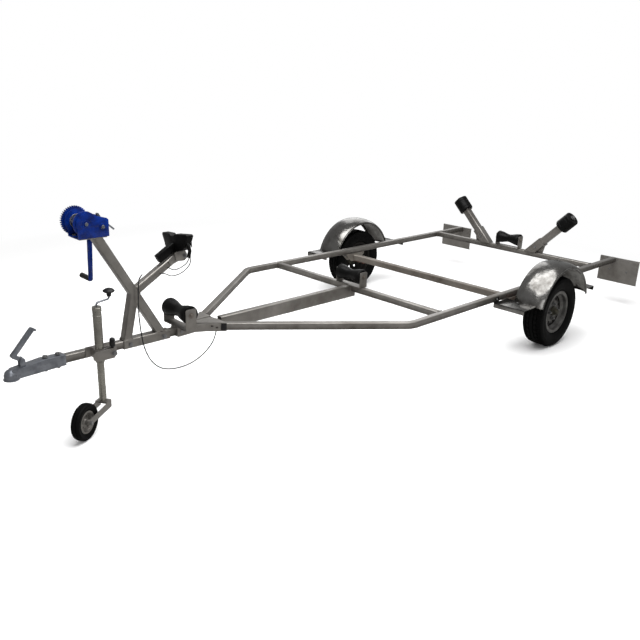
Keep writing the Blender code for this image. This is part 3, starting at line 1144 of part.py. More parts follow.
def build_jockey(finishes):
    """A tube in a clamp on the drawbar, with a sliding leg, a castor fork and a wheel."""
    column = (JOCKEY_AHEAD, JOCKEY_Y)
    cap = 4 * SHEET
    tube = turned([(JOCKEY_TUBE_BORE * 0.5, JOCKEY_TUBE_TOP + SHEET), (JOCKEY_TUBE_RADIUS, JOCKEY_TUBE_TOP),
                   (JOCKEY_TUBE_RADIUS, JOCKEY_TUBE_LOW), (JOCKEY_TUBE_BORE, JOCKEY_TUBE_LOW),
                   (JOCKEY_TUBE_BORE, JOCKEY_TUBE_TOP - cap), (0, JOCKEY_TUBE_TOP - cap)],
                  ROLLER_STEPS, (*column, 0))
    tube.data.vertices[0].co.x = 0
    name_part(tube, "jockey_tube", finishes["galvanised"])

    spigot = JOCKEY_PIN_RADIUS * 1.5
    crown_low = FORK_CROWN_Z - 2 * FORK_METAL
    leg = turned([(0, JOCKEY_LEG_TOP), (JOCKEY_LEG_RADIUS, JOCKEY_LEG_TOP),
                  (JOCKEY_LEG_RADIUS, FORK_CROWN_Z + GAP), (spigot, FORK_CROWN_Z + GAP),
                  (spigot, crown_low - SHEET), (0, crown_low - SHEET)], ROLLER_STEPS, (*column, 0))
    name_part(leg, "jockey_leg", finishes["galvanised"])

    heading = Matrix.Rotation(JOCKEY_TURN, 4, "Z")
    crown_half = JOCKEY_LEG_RADIUS + FORK_METAL
    fork = box((2 * crown_half, 2 * FORK_HALF, 2 * FORK_METAL - GAP),
               (*column, (FORK_CROWN_Z + crown_low) / 2), heading)
    cut(fork, cylinder(spigot + RUNNING_GAP, 4 * FORK_METAL, (*column, FORK_CROWN_Z), steps=ROLLER_STEPS))
    place = Matrix.Translation(Vector((*column, 0))) @ heading
    for _, sign in BOTH_SIDES:
        upper = [(-crown_half, FORK_CROWN_Z), (-crown_half, FORK_KNEE_Z)] \
            + arc((JOCKEY_TRAIL, JOCKEY_WHEEL_Z), FORK_ARM_RADIUS, math.radians(238), math.radians(418), 6) \
            + [(crown_half, crown_low), (crown_half, FORK_CROWN_Z)]
        cheek = slab([upper], FORK_METAL)
        cheek.matrix_world = place @ Matrix.Translation(Vector((0, sign * FORK_HALF, 0))) @ UPRIGHT
        fuse(fork, cheek)
    pin = cylinder(JOCKEY_PIN_RADIUS, 2 * FORK_HALF + 3 * FORK_METAL, (0, 0, 0))
    wheel_place = place @ Matrix.Translation(Vector((JOCKEY_TRAIL, 0, JOCKEY_WHEEL_Z)))
    pin.matrix_world = wheel_place @ ALONG_Y
    name_part(fuse(fork, pin), "jockey_fork", finishes["galvanised"])

    hub_half = FORK_HALF - FORK_METAL / 2 - SHEET
    bore = JOCKEY_PIN_RADIUS + RUNNING_GAP
    rim_half = JOCKEY_TYRE_HALF - SHEET
    web_half = 2 * SHEET
    hub_radius = 3 * JOCKEY_PIN_RADIUS
    half_section = [(hub_radius, hub_half), (hub_radius, web_half),
                    (JOCKEY_RIM_RADIUS - 2 * SHEET, web_half), (JOCKEY_RIM_RADIUS - SHEET, rim_half),
                    (JOCKEY_RIM_RADIUS, rim_half)]
    mirrored = [(radius, -height) for radius, height in reversed(half_section)]
    rim = turned(half_section + mirrored + [(bore, -hub_half), (bore, hub_half)],
                 JOCKEY_WHEEL_STEPS, (0, 0, 0), closed=True, flat_down=True)
    rim.matrix_world = wheel_place @ ALONG_Y
    name_part(rim, "jockey_rim", finishes["galvanised"])
    seat = JOCKEY_RIM_RADIUS + GAP * 2
    top = JOCKEY_WHEEL_RADIUS
    half = JOCKEY_TYRE_HALF
    tyre = turned([(seat, half - SHEET), (top - 4 * SHEET, half), (top - SHEET, half * 0.75), (top, half * 0.3),
                   (top, -half * 0.3), (top - SHEET, -half * 0.75), (top - 4 * SHEET, -half),
                   (seat, SHEET - half)], JOCKEY_WHEEL_STEPS, (0, 0, 0), closed=True, flat_down=True)
    tyre.matrix_world = wheel_place @ ALONG_Y
    name_part(tyre, "jockey_tyre", finishes["rubber"])


def build_jockey_clamp(finishes):
    """A plate on the drawbar's side, a split collar and its T-handle."""
    height = CLAMP_TOP - CLAMP_LOW
    level = (CLAMP_TOP + CLAMP_LOW) / 2
    collar_bore = JOCKEY_TUBE_RADIUS + GAP
    collar = collar_bore + CLAMP_METAL
    side = TUBE / 2 + GAP
    clamp = slab([circle((JOCKEY_AHEAD, JOCKEY_Y), collar), circle((JOCKEY_AHEAD, JOCKEY_Y), collar_bore, 2 * PIN_STEPS)],
                 height, (0, 0, level))
    plate = box((CLAMP_FRONT - CLAMP_REAR, CLAMP_METAL, height),
                ((CLAMP_FRONT + CLAMP_REAR) / 2, side + CLAMP_METAL / 2, level))
    neck_out = JOCKEY_Y - collar_bore - CLAMP_METAL / 3
    neck = box((2 * JOCKEY_TUBE_RADIUS, neck_out - side, height),
               (JOCKEY_AHEAD, (neck_out + side) / 2, level))
    ear_rear = JOCKEY_AHEAD - collar - CLAMP_EAR / 2
    fuse(clamp, plate, neck)
    slot = 2 * CLAMP_METAL
    ear = box((CLAMP_EAR, slot + 2 * CLAMP_METAL, height),
              (ear_rear + CLAMP_METAL / 2, JOCKEY_Y, level))
    fuse(clamp, ear)
    split = box((CLAMP_EAR + 3 * CLAMP_METAL, slot, height + OVERRUN),
                (ear_rear + CLAMP_METAL / 2, JOCKEY_Y, level))
    jaw_y = JOCKEY_Y + JAW_OFFSET
    bolt_out = jaw_y + CLAMP_METAL / 2
    bolt_in = JOCKEY_Y - slot / 2 - 2 * CLAMP_METAL
    cut(clamp, split)
    bolt = cylinder(T_BOLT_RADIUS, bolt_out - bolt_in, (ear_rear, (bolt_out + bolt_in) / 2, level), ALONG_Y)
    jaw = slab([rounded(JAW_FRONT_REACH + JAW_REAR_REACH, height, JAW_CORNER)], CLAMP_METAL,
               (JOCKEY_AHEAD + (JAW_FRONT_REACH - JAW_REAR_REACH) / 2, jaw_y + CLAMP_METAL / 2, level), UPRIGHT)
    bridge_in = JOCKEY_Y + collar - CLAMP_METAL / 3
    bridge = box((JOCKEY_TUBE_RADIUS, jaw_y + CLAMP_METAL / 2 - bridge_in, height - 2 * CORNER),
                 (JOCKEY_AHEAD, (jaw_y + CLAMP_METAL / 2 + bridge_in) / 2, level))
    fuse(clamp, bolt, jaw, bridge)
    name_part(clamp, "jockey_clamp", finishes["galvanised"])
    ear_face = JOCKEY_Y + slot / 2 + CLAMP_METAL
    handle = cylinder(T_BAR_RADIUS, T_BAR_LENGTH,
                      (ear_rear, (ear_face + jaw_y) / 2, level + T_BOLT_RADIUS + GAP + T_BAR_LENGTH / 2))
    name_part(handle, "clamp_handle", finishes["plastic"])


def build_jockey_crank(finishes):
    top = JOCKEY_TUBE_TOP + SHEET + GAP
    reach = Vector((math.cos(JOCKEY_CRANK_TURN), math.sin(JOCKEY_CRANK_TURN), 0)) * JOCKEY_CRANK_REACH
    foot = Vector((JOCKEY_AHEAD, JOCKEY_Y, top))
    rise = Vector((0, 0, JOCKEY_CRANK_RISE))
    corner = JOCKEY_CRANK_RADIUS * CRANK_CORNER_SHARE
    stub = Vector((0, 0, corner))
    away = reach.normalized() * corner
    rod = round_tube([foot, foot + stub, foot + 2 * stub + away, foot + 2 * stub + reach - away,
                      foot + 3 * stub + reach, foot + rise + reach], JOCKEY_CRANK_RADIUS)
    name_part(rod, "jockey_crank", finishes["zinc"])
    knob_low = top + JOCKEY_CRANK_RISE + GAP
    knob = turned([(0, KNOB_HEIGHT), (KNOB_RADIUS * 0.6, KNOB_HEIGHT * 0.95), (KNOB_RADIUS, KNOB_HEIGHT * 0.72),
                   (KNOB_RADIUS * 0.9, KNOB_HEIGHT * 0.55), (KNOB_RADIUS * 0.4, KNOB_HEIGHT * 0.4),
                   (KNOB_RADIUS * 0.35, 0), (0, 0)], PIN_STEPS, (foot.x + reach.x, foot.y + reach.y, knob_low))
    name_part(knob, "jockey_knob", finishes["plastic"])


def build_cable(finishes):
    """The lighting cable hangs in a loop from the bow arm to the frame bracket."""
    foot = Vector((POST_FOOT_AHEAD, 0, DRAWBAR_Z))
    route = [foot + Vector(step) for step in LIGHTING_DROOP]
    name_part(round_tube(smooth_path(route, CABLE_STEP), CABLE_RADIUS), "lighting_cable", finishes["sheath"])


def build_strands(finishes):
    """Two thin leads droop from a boot beside the bow stop to the side of the bow arm."""
    boot_y = ARM_TUBE / 2 + 2 * GAP + CHEEK_PLATE + BOOT_RADIUS
    boot_end = Vector((BOOT_AHEAD, boot_y, BOOT_LOW_Z))
    beside = Vector((BOW_ARM_AHEAD, ARM_TUBE / 2 + STRAND_RADIUS + GAP, BOW_ARM_Z))
    back = Vector((BOW_ARM_REACH, 0, -BOW_ARM_RISE)).normalized()
    above = Vector((-back.z, 0, back.x))
    for name, droop, tie in (("strand_outer", OUTER_DROOP, OUTER_TIE), ("strand_inner", INNER_DROOP, INNER_TIE)):
        route = [boot_end + Vector(step) for step in droop]
        route += [beside + back * along + Vector((0, out, 0)) + above * rise for along, out, rise in tie]
        name_part(round_tube(smooth_path(route, STRAND_STEP), STRAND_RADIUS), name, finishes["sheath"])
    boot = cylinder(BOOT_RADIUS * 0.75, BOOT_LENGTH, boot_end + Vector((0, 0, BOOT_LENGTH / 2)),
                    steps=PIN_STEPS, top_radius=BOOT_RADIUS)
    name_part(boot, "cable_boot", finishes["plastic"])


def carry_to_origin():
    """Parents every part to one empty that sets the trailer on its origin."""
    carrier = bpy.data.objects.new("trailer", None)
    bpy.data.collections[PARTS].objects.link(carrier)
    for name in (PARTS, CUTTERS):
        for thing in bpy.data.collections[name].objects:
            if thing is not carrier:
                thing.parent = carrier
    carrier.location = (ORIGIN_AHEAD, 0, 0)


def main():
    clear_scene()
    finishes = make_materials()
    build_rails(finishes)
    build_cross_members(finishes)
    build_center_beam(finishes)
    build_frame_bracket(finishes)
    build_drawbar(finishes)
    build_coupling(finishes)
    build_axle(finishes)
    build_wheels(finishes)
    build_mudguards(finishes)
    build_lamp_plates(finishes)
    build_keel_rollers(finishes)
    build_side_rollers(finishes)
    build_winch_post(finishes)
    build_winch(finishes)
    build_bow_stop(finishes)
    build_jockey(finishes)
    build_jockey_clamp(finishes)
    build_jockey_crank(finishes)
    build_cable(finishes)
    build_strands(finishes)
    carry_to_origin()


main()
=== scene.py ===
"""The looks of a single-axle boat trailer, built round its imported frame.

Metres throughout, +X towards the coupling, +Y to the trailer's left, +Z up.
Places along the trailer are written from the wheel axis, as a maker measures them,
and `at` carries them to the frame's origin.
"""

import json
import logging
import math
from collections.abc import Iterator
from contextlib import contextmanager
from dataclasses import dataclass
from enum import Enum
import bmesh  # noqa: E402
import bpy  # noqa: E402
from mathutils import Matrix, Vector  # noqa: E402

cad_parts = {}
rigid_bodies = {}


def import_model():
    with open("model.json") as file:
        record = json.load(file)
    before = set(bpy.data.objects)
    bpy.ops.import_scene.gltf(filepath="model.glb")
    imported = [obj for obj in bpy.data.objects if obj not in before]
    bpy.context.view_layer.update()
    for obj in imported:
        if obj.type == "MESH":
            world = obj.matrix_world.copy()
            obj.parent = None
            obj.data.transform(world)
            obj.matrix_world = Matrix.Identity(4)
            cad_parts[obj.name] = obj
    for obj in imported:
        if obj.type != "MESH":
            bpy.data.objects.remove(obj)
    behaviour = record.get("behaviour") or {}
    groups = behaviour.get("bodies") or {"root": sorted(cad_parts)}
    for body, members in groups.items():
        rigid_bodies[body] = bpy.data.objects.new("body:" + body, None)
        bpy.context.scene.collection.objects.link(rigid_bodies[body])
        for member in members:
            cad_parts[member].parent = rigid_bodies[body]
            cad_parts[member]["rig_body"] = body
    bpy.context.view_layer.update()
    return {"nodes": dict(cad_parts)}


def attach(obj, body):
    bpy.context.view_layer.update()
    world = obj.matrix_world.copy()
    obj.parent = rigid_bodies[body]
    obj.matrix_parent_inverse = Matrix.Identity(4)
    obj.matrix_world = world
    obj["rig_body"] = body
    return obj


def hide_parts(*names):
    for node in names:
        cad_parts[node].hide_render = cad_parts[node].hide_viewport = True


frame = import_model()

log = logging.getLogger("boat_trailer")

Piece = bpy.types.Object
Tree = bpy.types.NodeTree
Socket = bpy.types.NodeSocket
Colour = tuple[float, float, float, float]
Spot = tuple[float, float, float]
Section = list[tuple[float, float]]

MM = 0.001
FULL_TURN = math.tau
WHITE = (1.0, 1.0, 1.0, 1.0)
# The wheel axis in the frame, both cross members ahead of it, and the frame tubes' middle height.
AXIS_SHIFT = -0.948
REAR_CROSS = -0.935
FRONT_CROSS = 1.001
TUBE_UP = 0.367
HALF_TUBE = 0.0195
# The run of the arm that carries the bow stop.
ARM_RUN = Vector((-0.2464, 0, 0.146))
ACROSS = Vector((0, 1, 0))
UPRIGHT = Vector((0, 0, 1))
# How near points are merged in new shapes and in the frame's, and how flat its faces are made whole.
MERGE = 0.02 * MM
FRAME_MERGE = 0.01 * MM
FRAME_FLAT = math.radians(0.5)


def at(ahead: float, left: float, up: float) -> Vector:
    """A place in the frame.

    Args:
        ahead: distance ahead of the wheel axis.
        left: distance to the left of the centre line.
        up: height over the ground.

    Returns:
        The point in the frame's coordinates.
    """
    return Vector((ahead + AXIS_SHIFT, left, up))


class Side(Enum):
    """The trailer's two sides."""

    LEFT = 1
    RIGHT = -1

    @property
    def word(self) -> str:
        """The side's name in the frame's node names."""
        return self.name.lower()


# --- materials


def linear(hex_colour: str) -> Colour:
    """Turns an sRGB hex colour to linear light.

    Args:
        hex_colour: six hex digits, with or without a leading hash.

    Returns:
        Red, green, blue and an alpha of one.
    """
    digits = hex_colour.lstrip("#")
    channels = [int(digits[i:i + 2], 16) / 255 for i in (0, 2, 4)]
    bent = [c / 12.92 if c <= 0.04045 else ((c + 0.055) / 1.055) ** 2.4 for c in channels]
    return (*bent, 1.0)


def add_node(tree: Tree, kind: str, inputs: dict | None = None, out: int | str = 0,
             stops: tuple[tuple[float, str], ...] = (), **settings: object) -> Socket | None:
    """Adds a node with its settings and links.

    Args:
        tree: the node tree.
        kind: the node's type name, without the ShaderNode before it.
        inputs: values or output sockets by input name or number.
        out: the name or number of the output that is wanted.
        stops: a colour ramp's positions, each with its sRGB hex colour.
        **settings: the node's own properties.

    Returns:
        The wanted output, or None from a node that has none.
    """
    made = tree.nodes.new(f"ShaderNode{kind}")
    for key, value in settings.items():
        setattr(made, key, value)
    for key, value in (inputs or {}).items():
        if isinstance(value, Socket):
            tree.links.new(value, made.inputs[key])
        else:
            made.inputs[key].default_value = value
    if stops:
        elements = made.color_ramp.elements
        while len(elements) < len(stops):
            elements.new(0.5)
        for element, (position, colour) in zip(elements, stops):
            element.position = position
            element.color = linear(colour)
    return made.outputs[out] if made.outputs else None


@dataclass(frozen=True)
class Blots:
    """Patches of a second colour over a finish, such as grime, chips or rust.

    They lie where a noise of this size, detail and harshness passes `start`, and are whole at
    `start` and `fade` more.
    """

    size: float
    detail: float
    harsh: float
    start: float
    fade: float
    strength: float


@dataclass(frozen=True)
class Finish:
    """What every finish has: two tones in clouds, perhaps blots over them, a shine and a grain."""

    name: str
    metallic: float
    roughness: float
    sheen: float = 0.5
    pale: str = "#808080"
    dark: str = "#404040"
    tone_range: tuple[float, float] = (0.3, 0.7)
    cloud: float = 45 * MM
    cloud_detail: float = 6.0
    cloud_harsh: float = 0.6
    dull_more: float = 0.1
    dull_less: float = 0.0
    blots: Blots | None = None
    blot: str = "#404040"
    grain: float = 4 * MM
    grain_detail: float = 3.0
    depth: float = 0.1 * MM

    def make(self) -> bpy.types.Material:
        """Builds the material.

        Returns:
            The new material, with its constants on the shader's own sockets.
        """
        material = bpy.data.materials.new(self.name)
        material.use_nodes = True
        tree = material.node_tree
        shader = tree.nodes["Principled BSDF"]
        shader.inputs["Metallic"].default_value = self.metallic
        shader.inputs["Roughness"].default_value = self.roughness
        shader.inputs["Specular IOR Level"].default_value = self.sheen
        place = add_node(tree, "TexCoord", out="Object")
        for socket, source in self.pattern(tree, place).items():
            tree.links.new(source, shader.inputs[socket])
        return material

    def pattern(self, tree: Tree, place: Socket) -> dict[str, Socket]:
        """Clouds of two tones, blots over them, a shine that follows the clouds, and a grain.

        Args:
            tree: the material's nodes.
            place: Object coordinates in metres.

        Returns:
            What drives each of the shader's sockets.
        """
        cloud = add_node(tree, "TexNoise", {"Vector": place, "Scale": 1 / self.cloud,
                                            "Detail": self.cloud_detail, "Roughness": self.cloud_harsh})
        colour = self.tone(tree, cloud)
        if self.blots:
            colour = self.blotted(tree, place, colour)
        shine = add_node(tree, "MapRange", {"Value": cloud, "From Min": 0.3, "From Max": 0.7,
                                            "To Min": self.roughness + self.dull_more,
                                            "To Max": self.roughness + self.dull_less})
        grain = add_node(tree, "TexNoise", {"Vector": place, "Scale": 1 / self.grain,
                                            "Detail": self.grain_detail, "Roughness": 0.55})
        return {"Base Color": colour, "Roughness": shine,
                "Normal": add_node(tree, "Bump", {"Height": grain, "Strength": 1.0, "Distance": self.depth})}

    def tone(self, tree: Tree, value: Socket) -> Socket:
        """The dark and the pale tone, as a value from 0 to 1 lays them."""
        low, high = self.tone_range
        return add_node(tree, "ValToRGB", {"Fac": value}, stops=((low, self.dark), (high, self.pale)))

    def blotted(self, tree: Tree, place: Socket, colour: Socket) -> Socket:
        """Lays the blots over a colour.

        Args:
            tree: the material's nodes.
            place: Object coordinates in metres.
            colour: the colour under them.

        Returns:
            The colour with its blots.
        """
        spread = self.blots
        noise = add_node(tree, "TexNoise", {"Vector": place, "Scale": 1 / spread.size, "Detail": spread.detail,
                                            "Roughness": spread.harsh})
        share = add_node(tree, "MapRange", {"Value": noise, "From Min": spread.start,
                                            "From Max": spread.start + spread.fade,
                                            "To Max": spread.strength})
        return add_node(tree, "Mix", {0: share, 6: colour, 7: linear(self.blot)}, 2, data_type="RGBA")


@dataclass(frozen=True)
class DippedZinc(Finish):
    """Hot-dip galvanised steel: zinc crystals 6 to 15 mm across, dulled and browned outdoors.

    The eye sees faint angular spangle, cloudy grey-brown tarnish, and small rust freckles.
    """

    metallic: float = 0.75
    roughness: float = 0.40
    pale: str = "#817e7a"
    grey: str = "#6f6c68"
    dark: str = "#5a5651"
    spangle: float = 11 * MM
    spangle_glint: float = 0.22
    spangle_shine: float = 0.08
    cloud: float = 220 * MM
    dull_more: float = 0.12
    dull_less: float = -0.08
    blots: Blots = Blots(9 * MM, 5.0, 0.7, 0.74, 0.08, 0.75)
    blot: str = "#5f4a38"
    grain: float = 3.5 * MM
    depth: float = 0.12 * MM

    def pattern(self, tree: Tree, place: Socket) -> dict[str, Socket]:
        """Spangle over cloudy tarnish, with freckles of rust.

        Args:
            tree: the material's nodes.
            place: Object coordinates in metres.

        Returns:
            What drives each of the shader's sockets.
        """
        crystal = add_node(tree, "TexVoronoi", {"Vector": place, "Scale": 1 / self.spangle}, "Color")
        facet = add_node(tree, "SeparateColor", {"Color": crystal})
        cloud = add_node(tree, "TexNoise", {"Vector": place, "Scale": 1 / self.cloud,
                                            "Detail": self.cloud_detail, "Roughness": self.cloud_harsh})
        tarnish = add_node(tree, "ValToRGB", {"Fac": cloud},
                           stops=((0.30, self.dark), (0.48, self.grey), (0.72, self.pale)))
        share = add_node(tree, "MapRange", {"Value": facet, "To Max": self.spangle_glint})
        glint = add_node(tree, "Mix", {0: share, 6: tarnish, 7: linear(self.pale)}, 2, data_type="RGBA")
        tilt = add_node(tree, "MapRange", {"Value": facet, "To Min": -self.spangle_shine,
                                           "To Max": self.spangle_shine})
        dull = add_node(tree, "MapRange", {"Value": cloud, "From Min": 0.3, "From Max": 0.7,
                                           "To Min": self.roughness + self.dull_more,
                                           "To Max": self.roughness + self.dull_less})
        fine = add_node(tree, "TexNoise", {"Vector": place, "Scale": 1 / self.grain,
                                           "Detail": self.grain_detail, "Roughness": 0.55})
        relief = add_node(tree, "Mix", {0: fine, 6: facet, 7: fine}, 2, data_type="RGBA")
        return {"Base Color": self.blotted(tree, place, glint),
                "Roughness": add_node(tree, "Math", {0: tilt, 1: dull}),
                "Normal": add_node(tree, "Bump", {"Height": relief, "Strength": 1.0, "Distance": self.depth})}


@dataclass(frozen=True)
class RoadFilmZinc(DippedZinc):
    """Dipped zinc on the tubes near the road, their lower edges darkened by painted shade."""

    # The painted shade's tone, the heights over which it fades out, its strength and how far its edge wanders.
    film: str = "#35312d"
    film_low: float = 0.350
    film_high: float = 0.374
    film_share: float = 0.75
    film_wander: float = 6 * MM

    def pattern(self, tree: Tree, place: Socket) -> dict[str, Socket]:
        """The dipped zinc with painted shade darkening its lower edge.

        Args:
            tree: the material's nodes.
            place: Object coordinates in metres.

        Returns:
            What drives each of the shader's sockets.
        """
        laid = super().pattern(tree, place)
        # Painted shade: darker towards the bottom of each tube, its edge wandering with noise.
        height = add_node(tree, "SeparateXYZ", {"Vector": place}, "Z")
        noise = add_node(tree, "TexNoise", {"Vector": place, "Scale": 1 / (60 * MM), "Detail": 4.0,
                                            "Roughness": 0.55})
        wander = add_node(tree, "MapRange", {"Value": noise, "From Min": 0.3, "From Max": 0.7,
                                             "To Min": -self.film_wander, "To Max": self.film_wander})
        share = add_node(tree, "MapRange", {"Value": add_node(tree, "Math", {0: height, 1: wander}),
                                            "From Min": self.film_low, "From Max": self.film_high,
                                            "To Min": self.film_share, "To Max": 0.0})
        laid["Base Color"] = add_node(tree, "Mix", {0: share, 6: laid["Base Color"], 7: linear(self.film)}, 2,
                                      data_type="RGBA")
        return laid


@dataclass(frozen=True)
class RolledZincSheet(Finish):
    """Bright zinc-coated sheet, pressed and half polished: it mirrors softly, with dull smears and dents; its
    dark, clouded colour is a painted reflection of dark surroundings.
    """

    metallic: float = 1.0
    roughness: float = 0.15
    # Painted reflection: both tones are kept dark, with paler clouds, to stand for the dark surroundings that
    # the sheet mirrors.
    pale: str = "#737270"
    dark: str = "#474542"
    tone_range: tuple[float, float] = (0.32, 0.62)
    cloud: float = 90 * MM
    cloud_detail: float = 5.0
    cloud_harsh: float = 0.65
    dull_more: float = 0.14
    grain: float = 38 * MM
    grain_detail: float = 2.0
    depth: float = 2.2 * MM


@dataclass(frozen=True)
class PlatedSteel(Finish):
    """Zinc-plated pressed steel: blue-grey blotches, dirt in patches, and fine handling scratches."""

    metallic: float = 0.8
    roughness: float = 0.32
    pale: str = "#7a7d83"
    dark: str = "#5a5d63"
    tone_range: tuple[float, float] = (0.30, 0.65)
    cloud: float = 35 * MM
    dull_more: float = 0.15
    dull_less: float = -0.05
    blots: Blots = Blots(18 * MM, 6.0, 0.7, 0.60, 0.14, 0.5)
    blot: str = "#46433f"
    depth: float = 0.15 * MM


@dataclass(frozen=True)
class SprayedPaint(Finish):
    """Sprayed enamel over steel: two close shades, orange peel 3 mm across, chips down to primer."""

    metallic: float = 0.0
    roughness: float = 0.20
    sheen: float = 0.2
    pale: str = "#05297a"
    dark: str = "#031752"
    tone_range: tuple[float, float] = (0.35, 0.62)
    cloud_detail: float = 4.0
    cloud_harsh: float = 0.55
    blots: Blots = Blots(7 * MM, 5.0, 0.7, 0.75, 0.02, 1.0)
    blot: str = "#55585f"
    grain: float = 3 * MM
    grain_detail: float = 2.0
    depth: float = 0.06 * MM


@dataclass(frozen=True)
class MouldedRubber(Finish):
    """Carbon-black rubber, matt, with grey dust and the faint skin of the mould."""

    metallic: float = 0.0
    roughness: float = 0.62
    sheen: float = 0.06
    dark: str = "#050505"
    dust: str = "#161513"
    dusting: float = 0.25
    tone_range: tuple[float, float] = (0.42, 0.75)
    cloud: float = 70 * MM
    cloud_harsh: float = 0.65
    dull_more: float = -0.08
    dull_less: float = 0.14
    grain: float = 2.5 * MM
    depth: float = 0.12 * MM

    def tone(self, tree: Tree, value: Socket) -> Socket:
        """Black, with a share of dust where the value is high.

        Args:
            tree: the material's nodes.
            value: where the dust lies, from 0 to 1.

        Returns:
            The dusted colour.
        """
        low, high = self.tone_range
        share = add_node(tree, "MapRange", {"Value": value, "From Min": low, "From Max": high,
                                            "To Max": self.dusting})
        return add_node(tree, "Mix", {0: share, 6: linear(self.dark), 7: linear(self.dust)}, 2,
                        data_type="RGBA")


@dataclass(frozen=True)
class MouldedPlastic(Finish):
    """Injection-moulded plastic with a spark-eroded grain about 1 mm across, drawn at 2 mm to show."""

    metallic: float = 0.0
    roughness: float = 0.42
    sheen: float = 0.2
    pale: str = "#262624"
    dark: str = "#0e0e10"
    tone_range: tuple[float, float] = (0.45, 0.78)
    cloud: float = 25 * MM
    cloud_detail: float = 5.0
    dull_more: float = -0.06
    dull_less: float = 0.12
    grain: float = 2 * MM
    grain_detail: float = 1.0
    depth: float = 0.05 * MM


@dataclass(frozen=True)
class LensPlastic(Finish):
    """Clear acrylic lamp lens with prism ribs 4 mm apart behind a gloss face."""

    metallic: float = 0.0
    roughness: float = 0.12
    pale: str = "#a51414"
    dark: str = "#4d0505"
    tone_range: tuple[float, float] = (0.2, 0.8)
    rib: float = 4 * MM
    depth: float = 0.3 * MM

    def pattern(self, tree: Tree, place: Socket) -> dict[str, Socket]:
        """Light and dark prism ribs.

        Args:
            tree: the material's nodes.
            place: Object coordinates in metres.

        Returns:
            What drives each of the shader's sockets.
        """
        ribs = add_node(tree, "TexWave", {"Vector": place, "Scale": 0.32 / self.rib}, "Fac",
                        bands_direction="Y")
        return {"Base Color": self.tone(tree, ribs),
                "Normal": add_node(tree, "Bump", {"Height": ribs, "Strength": 1.0, "Distance": self.depth})}


@dataclass(frozen=True)
class RoughCasting(Finish):
    """Sand-cast or forged steel, dark and pitted, with orange-brown rust where the paint has gone."""

    metallic: float = 0.35
    roughness: float = 0.65
    pale: str = "#3a2c24"
    dark: str = "#241c18"
    tone_range: tuple[float, float] = (0.35, 0.65)
    cloud: float = 12 * MM
    cloud_harsh: float = 0.65
    blots: Blots = Blots(40 * MM, 7.0, 0.7, 0.40, 0.14, 0.9)
    blot: str = "#6e3320"
    depth: float = 0.6 * MM

    def pattern(self, tree: Tree, place: Socket) -> dict[str, Socket]:
        """Pitted scale, which is the relief as well, and rust patches.

        Args:
            tree: the material's nodes.
            place: Object coordinates in metres.

        Returns:
            What drives each of the shader's sockets.
        """
        scale = add_node(tree, "TexNoise", {"Vector": place, "Scale": 1 / self.cloud,
                                            "Detail": self.cloud_detail, "Roughness": self.cloud_harsh})
        return {"Base Color": self.blotted(tree, place, self.tone(tree, scale)),
                "Normal": add_node(tree, "Bump", {"Height": scale, "Strength": 1.0, "Distance": self.depth})}


class Finishes:
    """Every finish on the trailer, made once."""

    def __init__(self) -> None:
        """Makes the materials by name."""
        recipes = (
            DippedZinc("hot_dip_zinc"),
            RoadFilmZinc("road_film_dip_zinc"),
            DippedZinc("weathered_dip_zinc", roughness=0.48, pale="#7b766f", grey="#655f59", dark="#4c453e",
                       blots=Blots(9 * MM, 5.0, 0.7, 0.66, 0.08, 0.75)),
            DippedZinc("weld_bead_zinc", roughness=0.50, pale="#787570", grey="#625e59", dark="#4c4842",
                       cloud=30 * MM, spangle=4 * MM),
            DippedZinc("drawn_tube_zinc", roughness=0.30, pale="#8a8880", grey="#6f6d67", dark="#54524d"),
            RolledZincSheet("rolled_zinc_sheet"),
            PlatedSteel("zinc_plated_pressing"),
            PlatedSteel("bright_fastener_zinc", pale="#7f7f7f", dark="#5c5c5d"),
            SprayedPaint("blue_winch_enamel"),
            SprayedPaint("silver_wheel_enamel", metallic=0.6, roughness=0.34, pale="#5c5b59", dark="#403f3d",
                         blot="#3c3129"),
            # The rims' inboard enamel is painted shade: a near-black tone that stands for the shadow inside
            # the wheel.
            SprayedPaint("grimy_inner_wheel", roughness=0.7, sheen=0.1, pale="#1c1a18", dark="#121110",
                         blot="#3a2c22"),
            MouldedRubber("tyre_rubber"),
            MouldedRubber("roller_rubber", roughness=0.40, sheen=0.10, dusting=0.15),
            MouldedPlastic("black_moulded_plastic"),
            MouldedPlastic("soft_cable_sheath", dark="#1b1b1d", pale="#3a3a38", grain=3 * MM),
            LensPlastic("red_lamp_lens"),
            LensPlastic("amber_lamp_lens", pale="#c9670a", dark="#6b2c02"),
            LensPlastic("clear_lamp_lens", pale="#d9d9d6", dark="#8b8b88"),
            RoughCasting("rusty_forging"),
            RoughCasting("olive_hub_casting", dark="#23221b", pale="#3a382b", blot="#5a4127",
                         blots=Blots(40 * MM, 7.0, 0.7, 0.60, 0.14, 0.9)),
        )
        self._made = {recipe.name: recipe.make() for recipe in recipes}

    def __getitem__(self, name: str) -> bpy.types.Material:
        """The material of that name."""
        return self._made[name]


# --- workbench


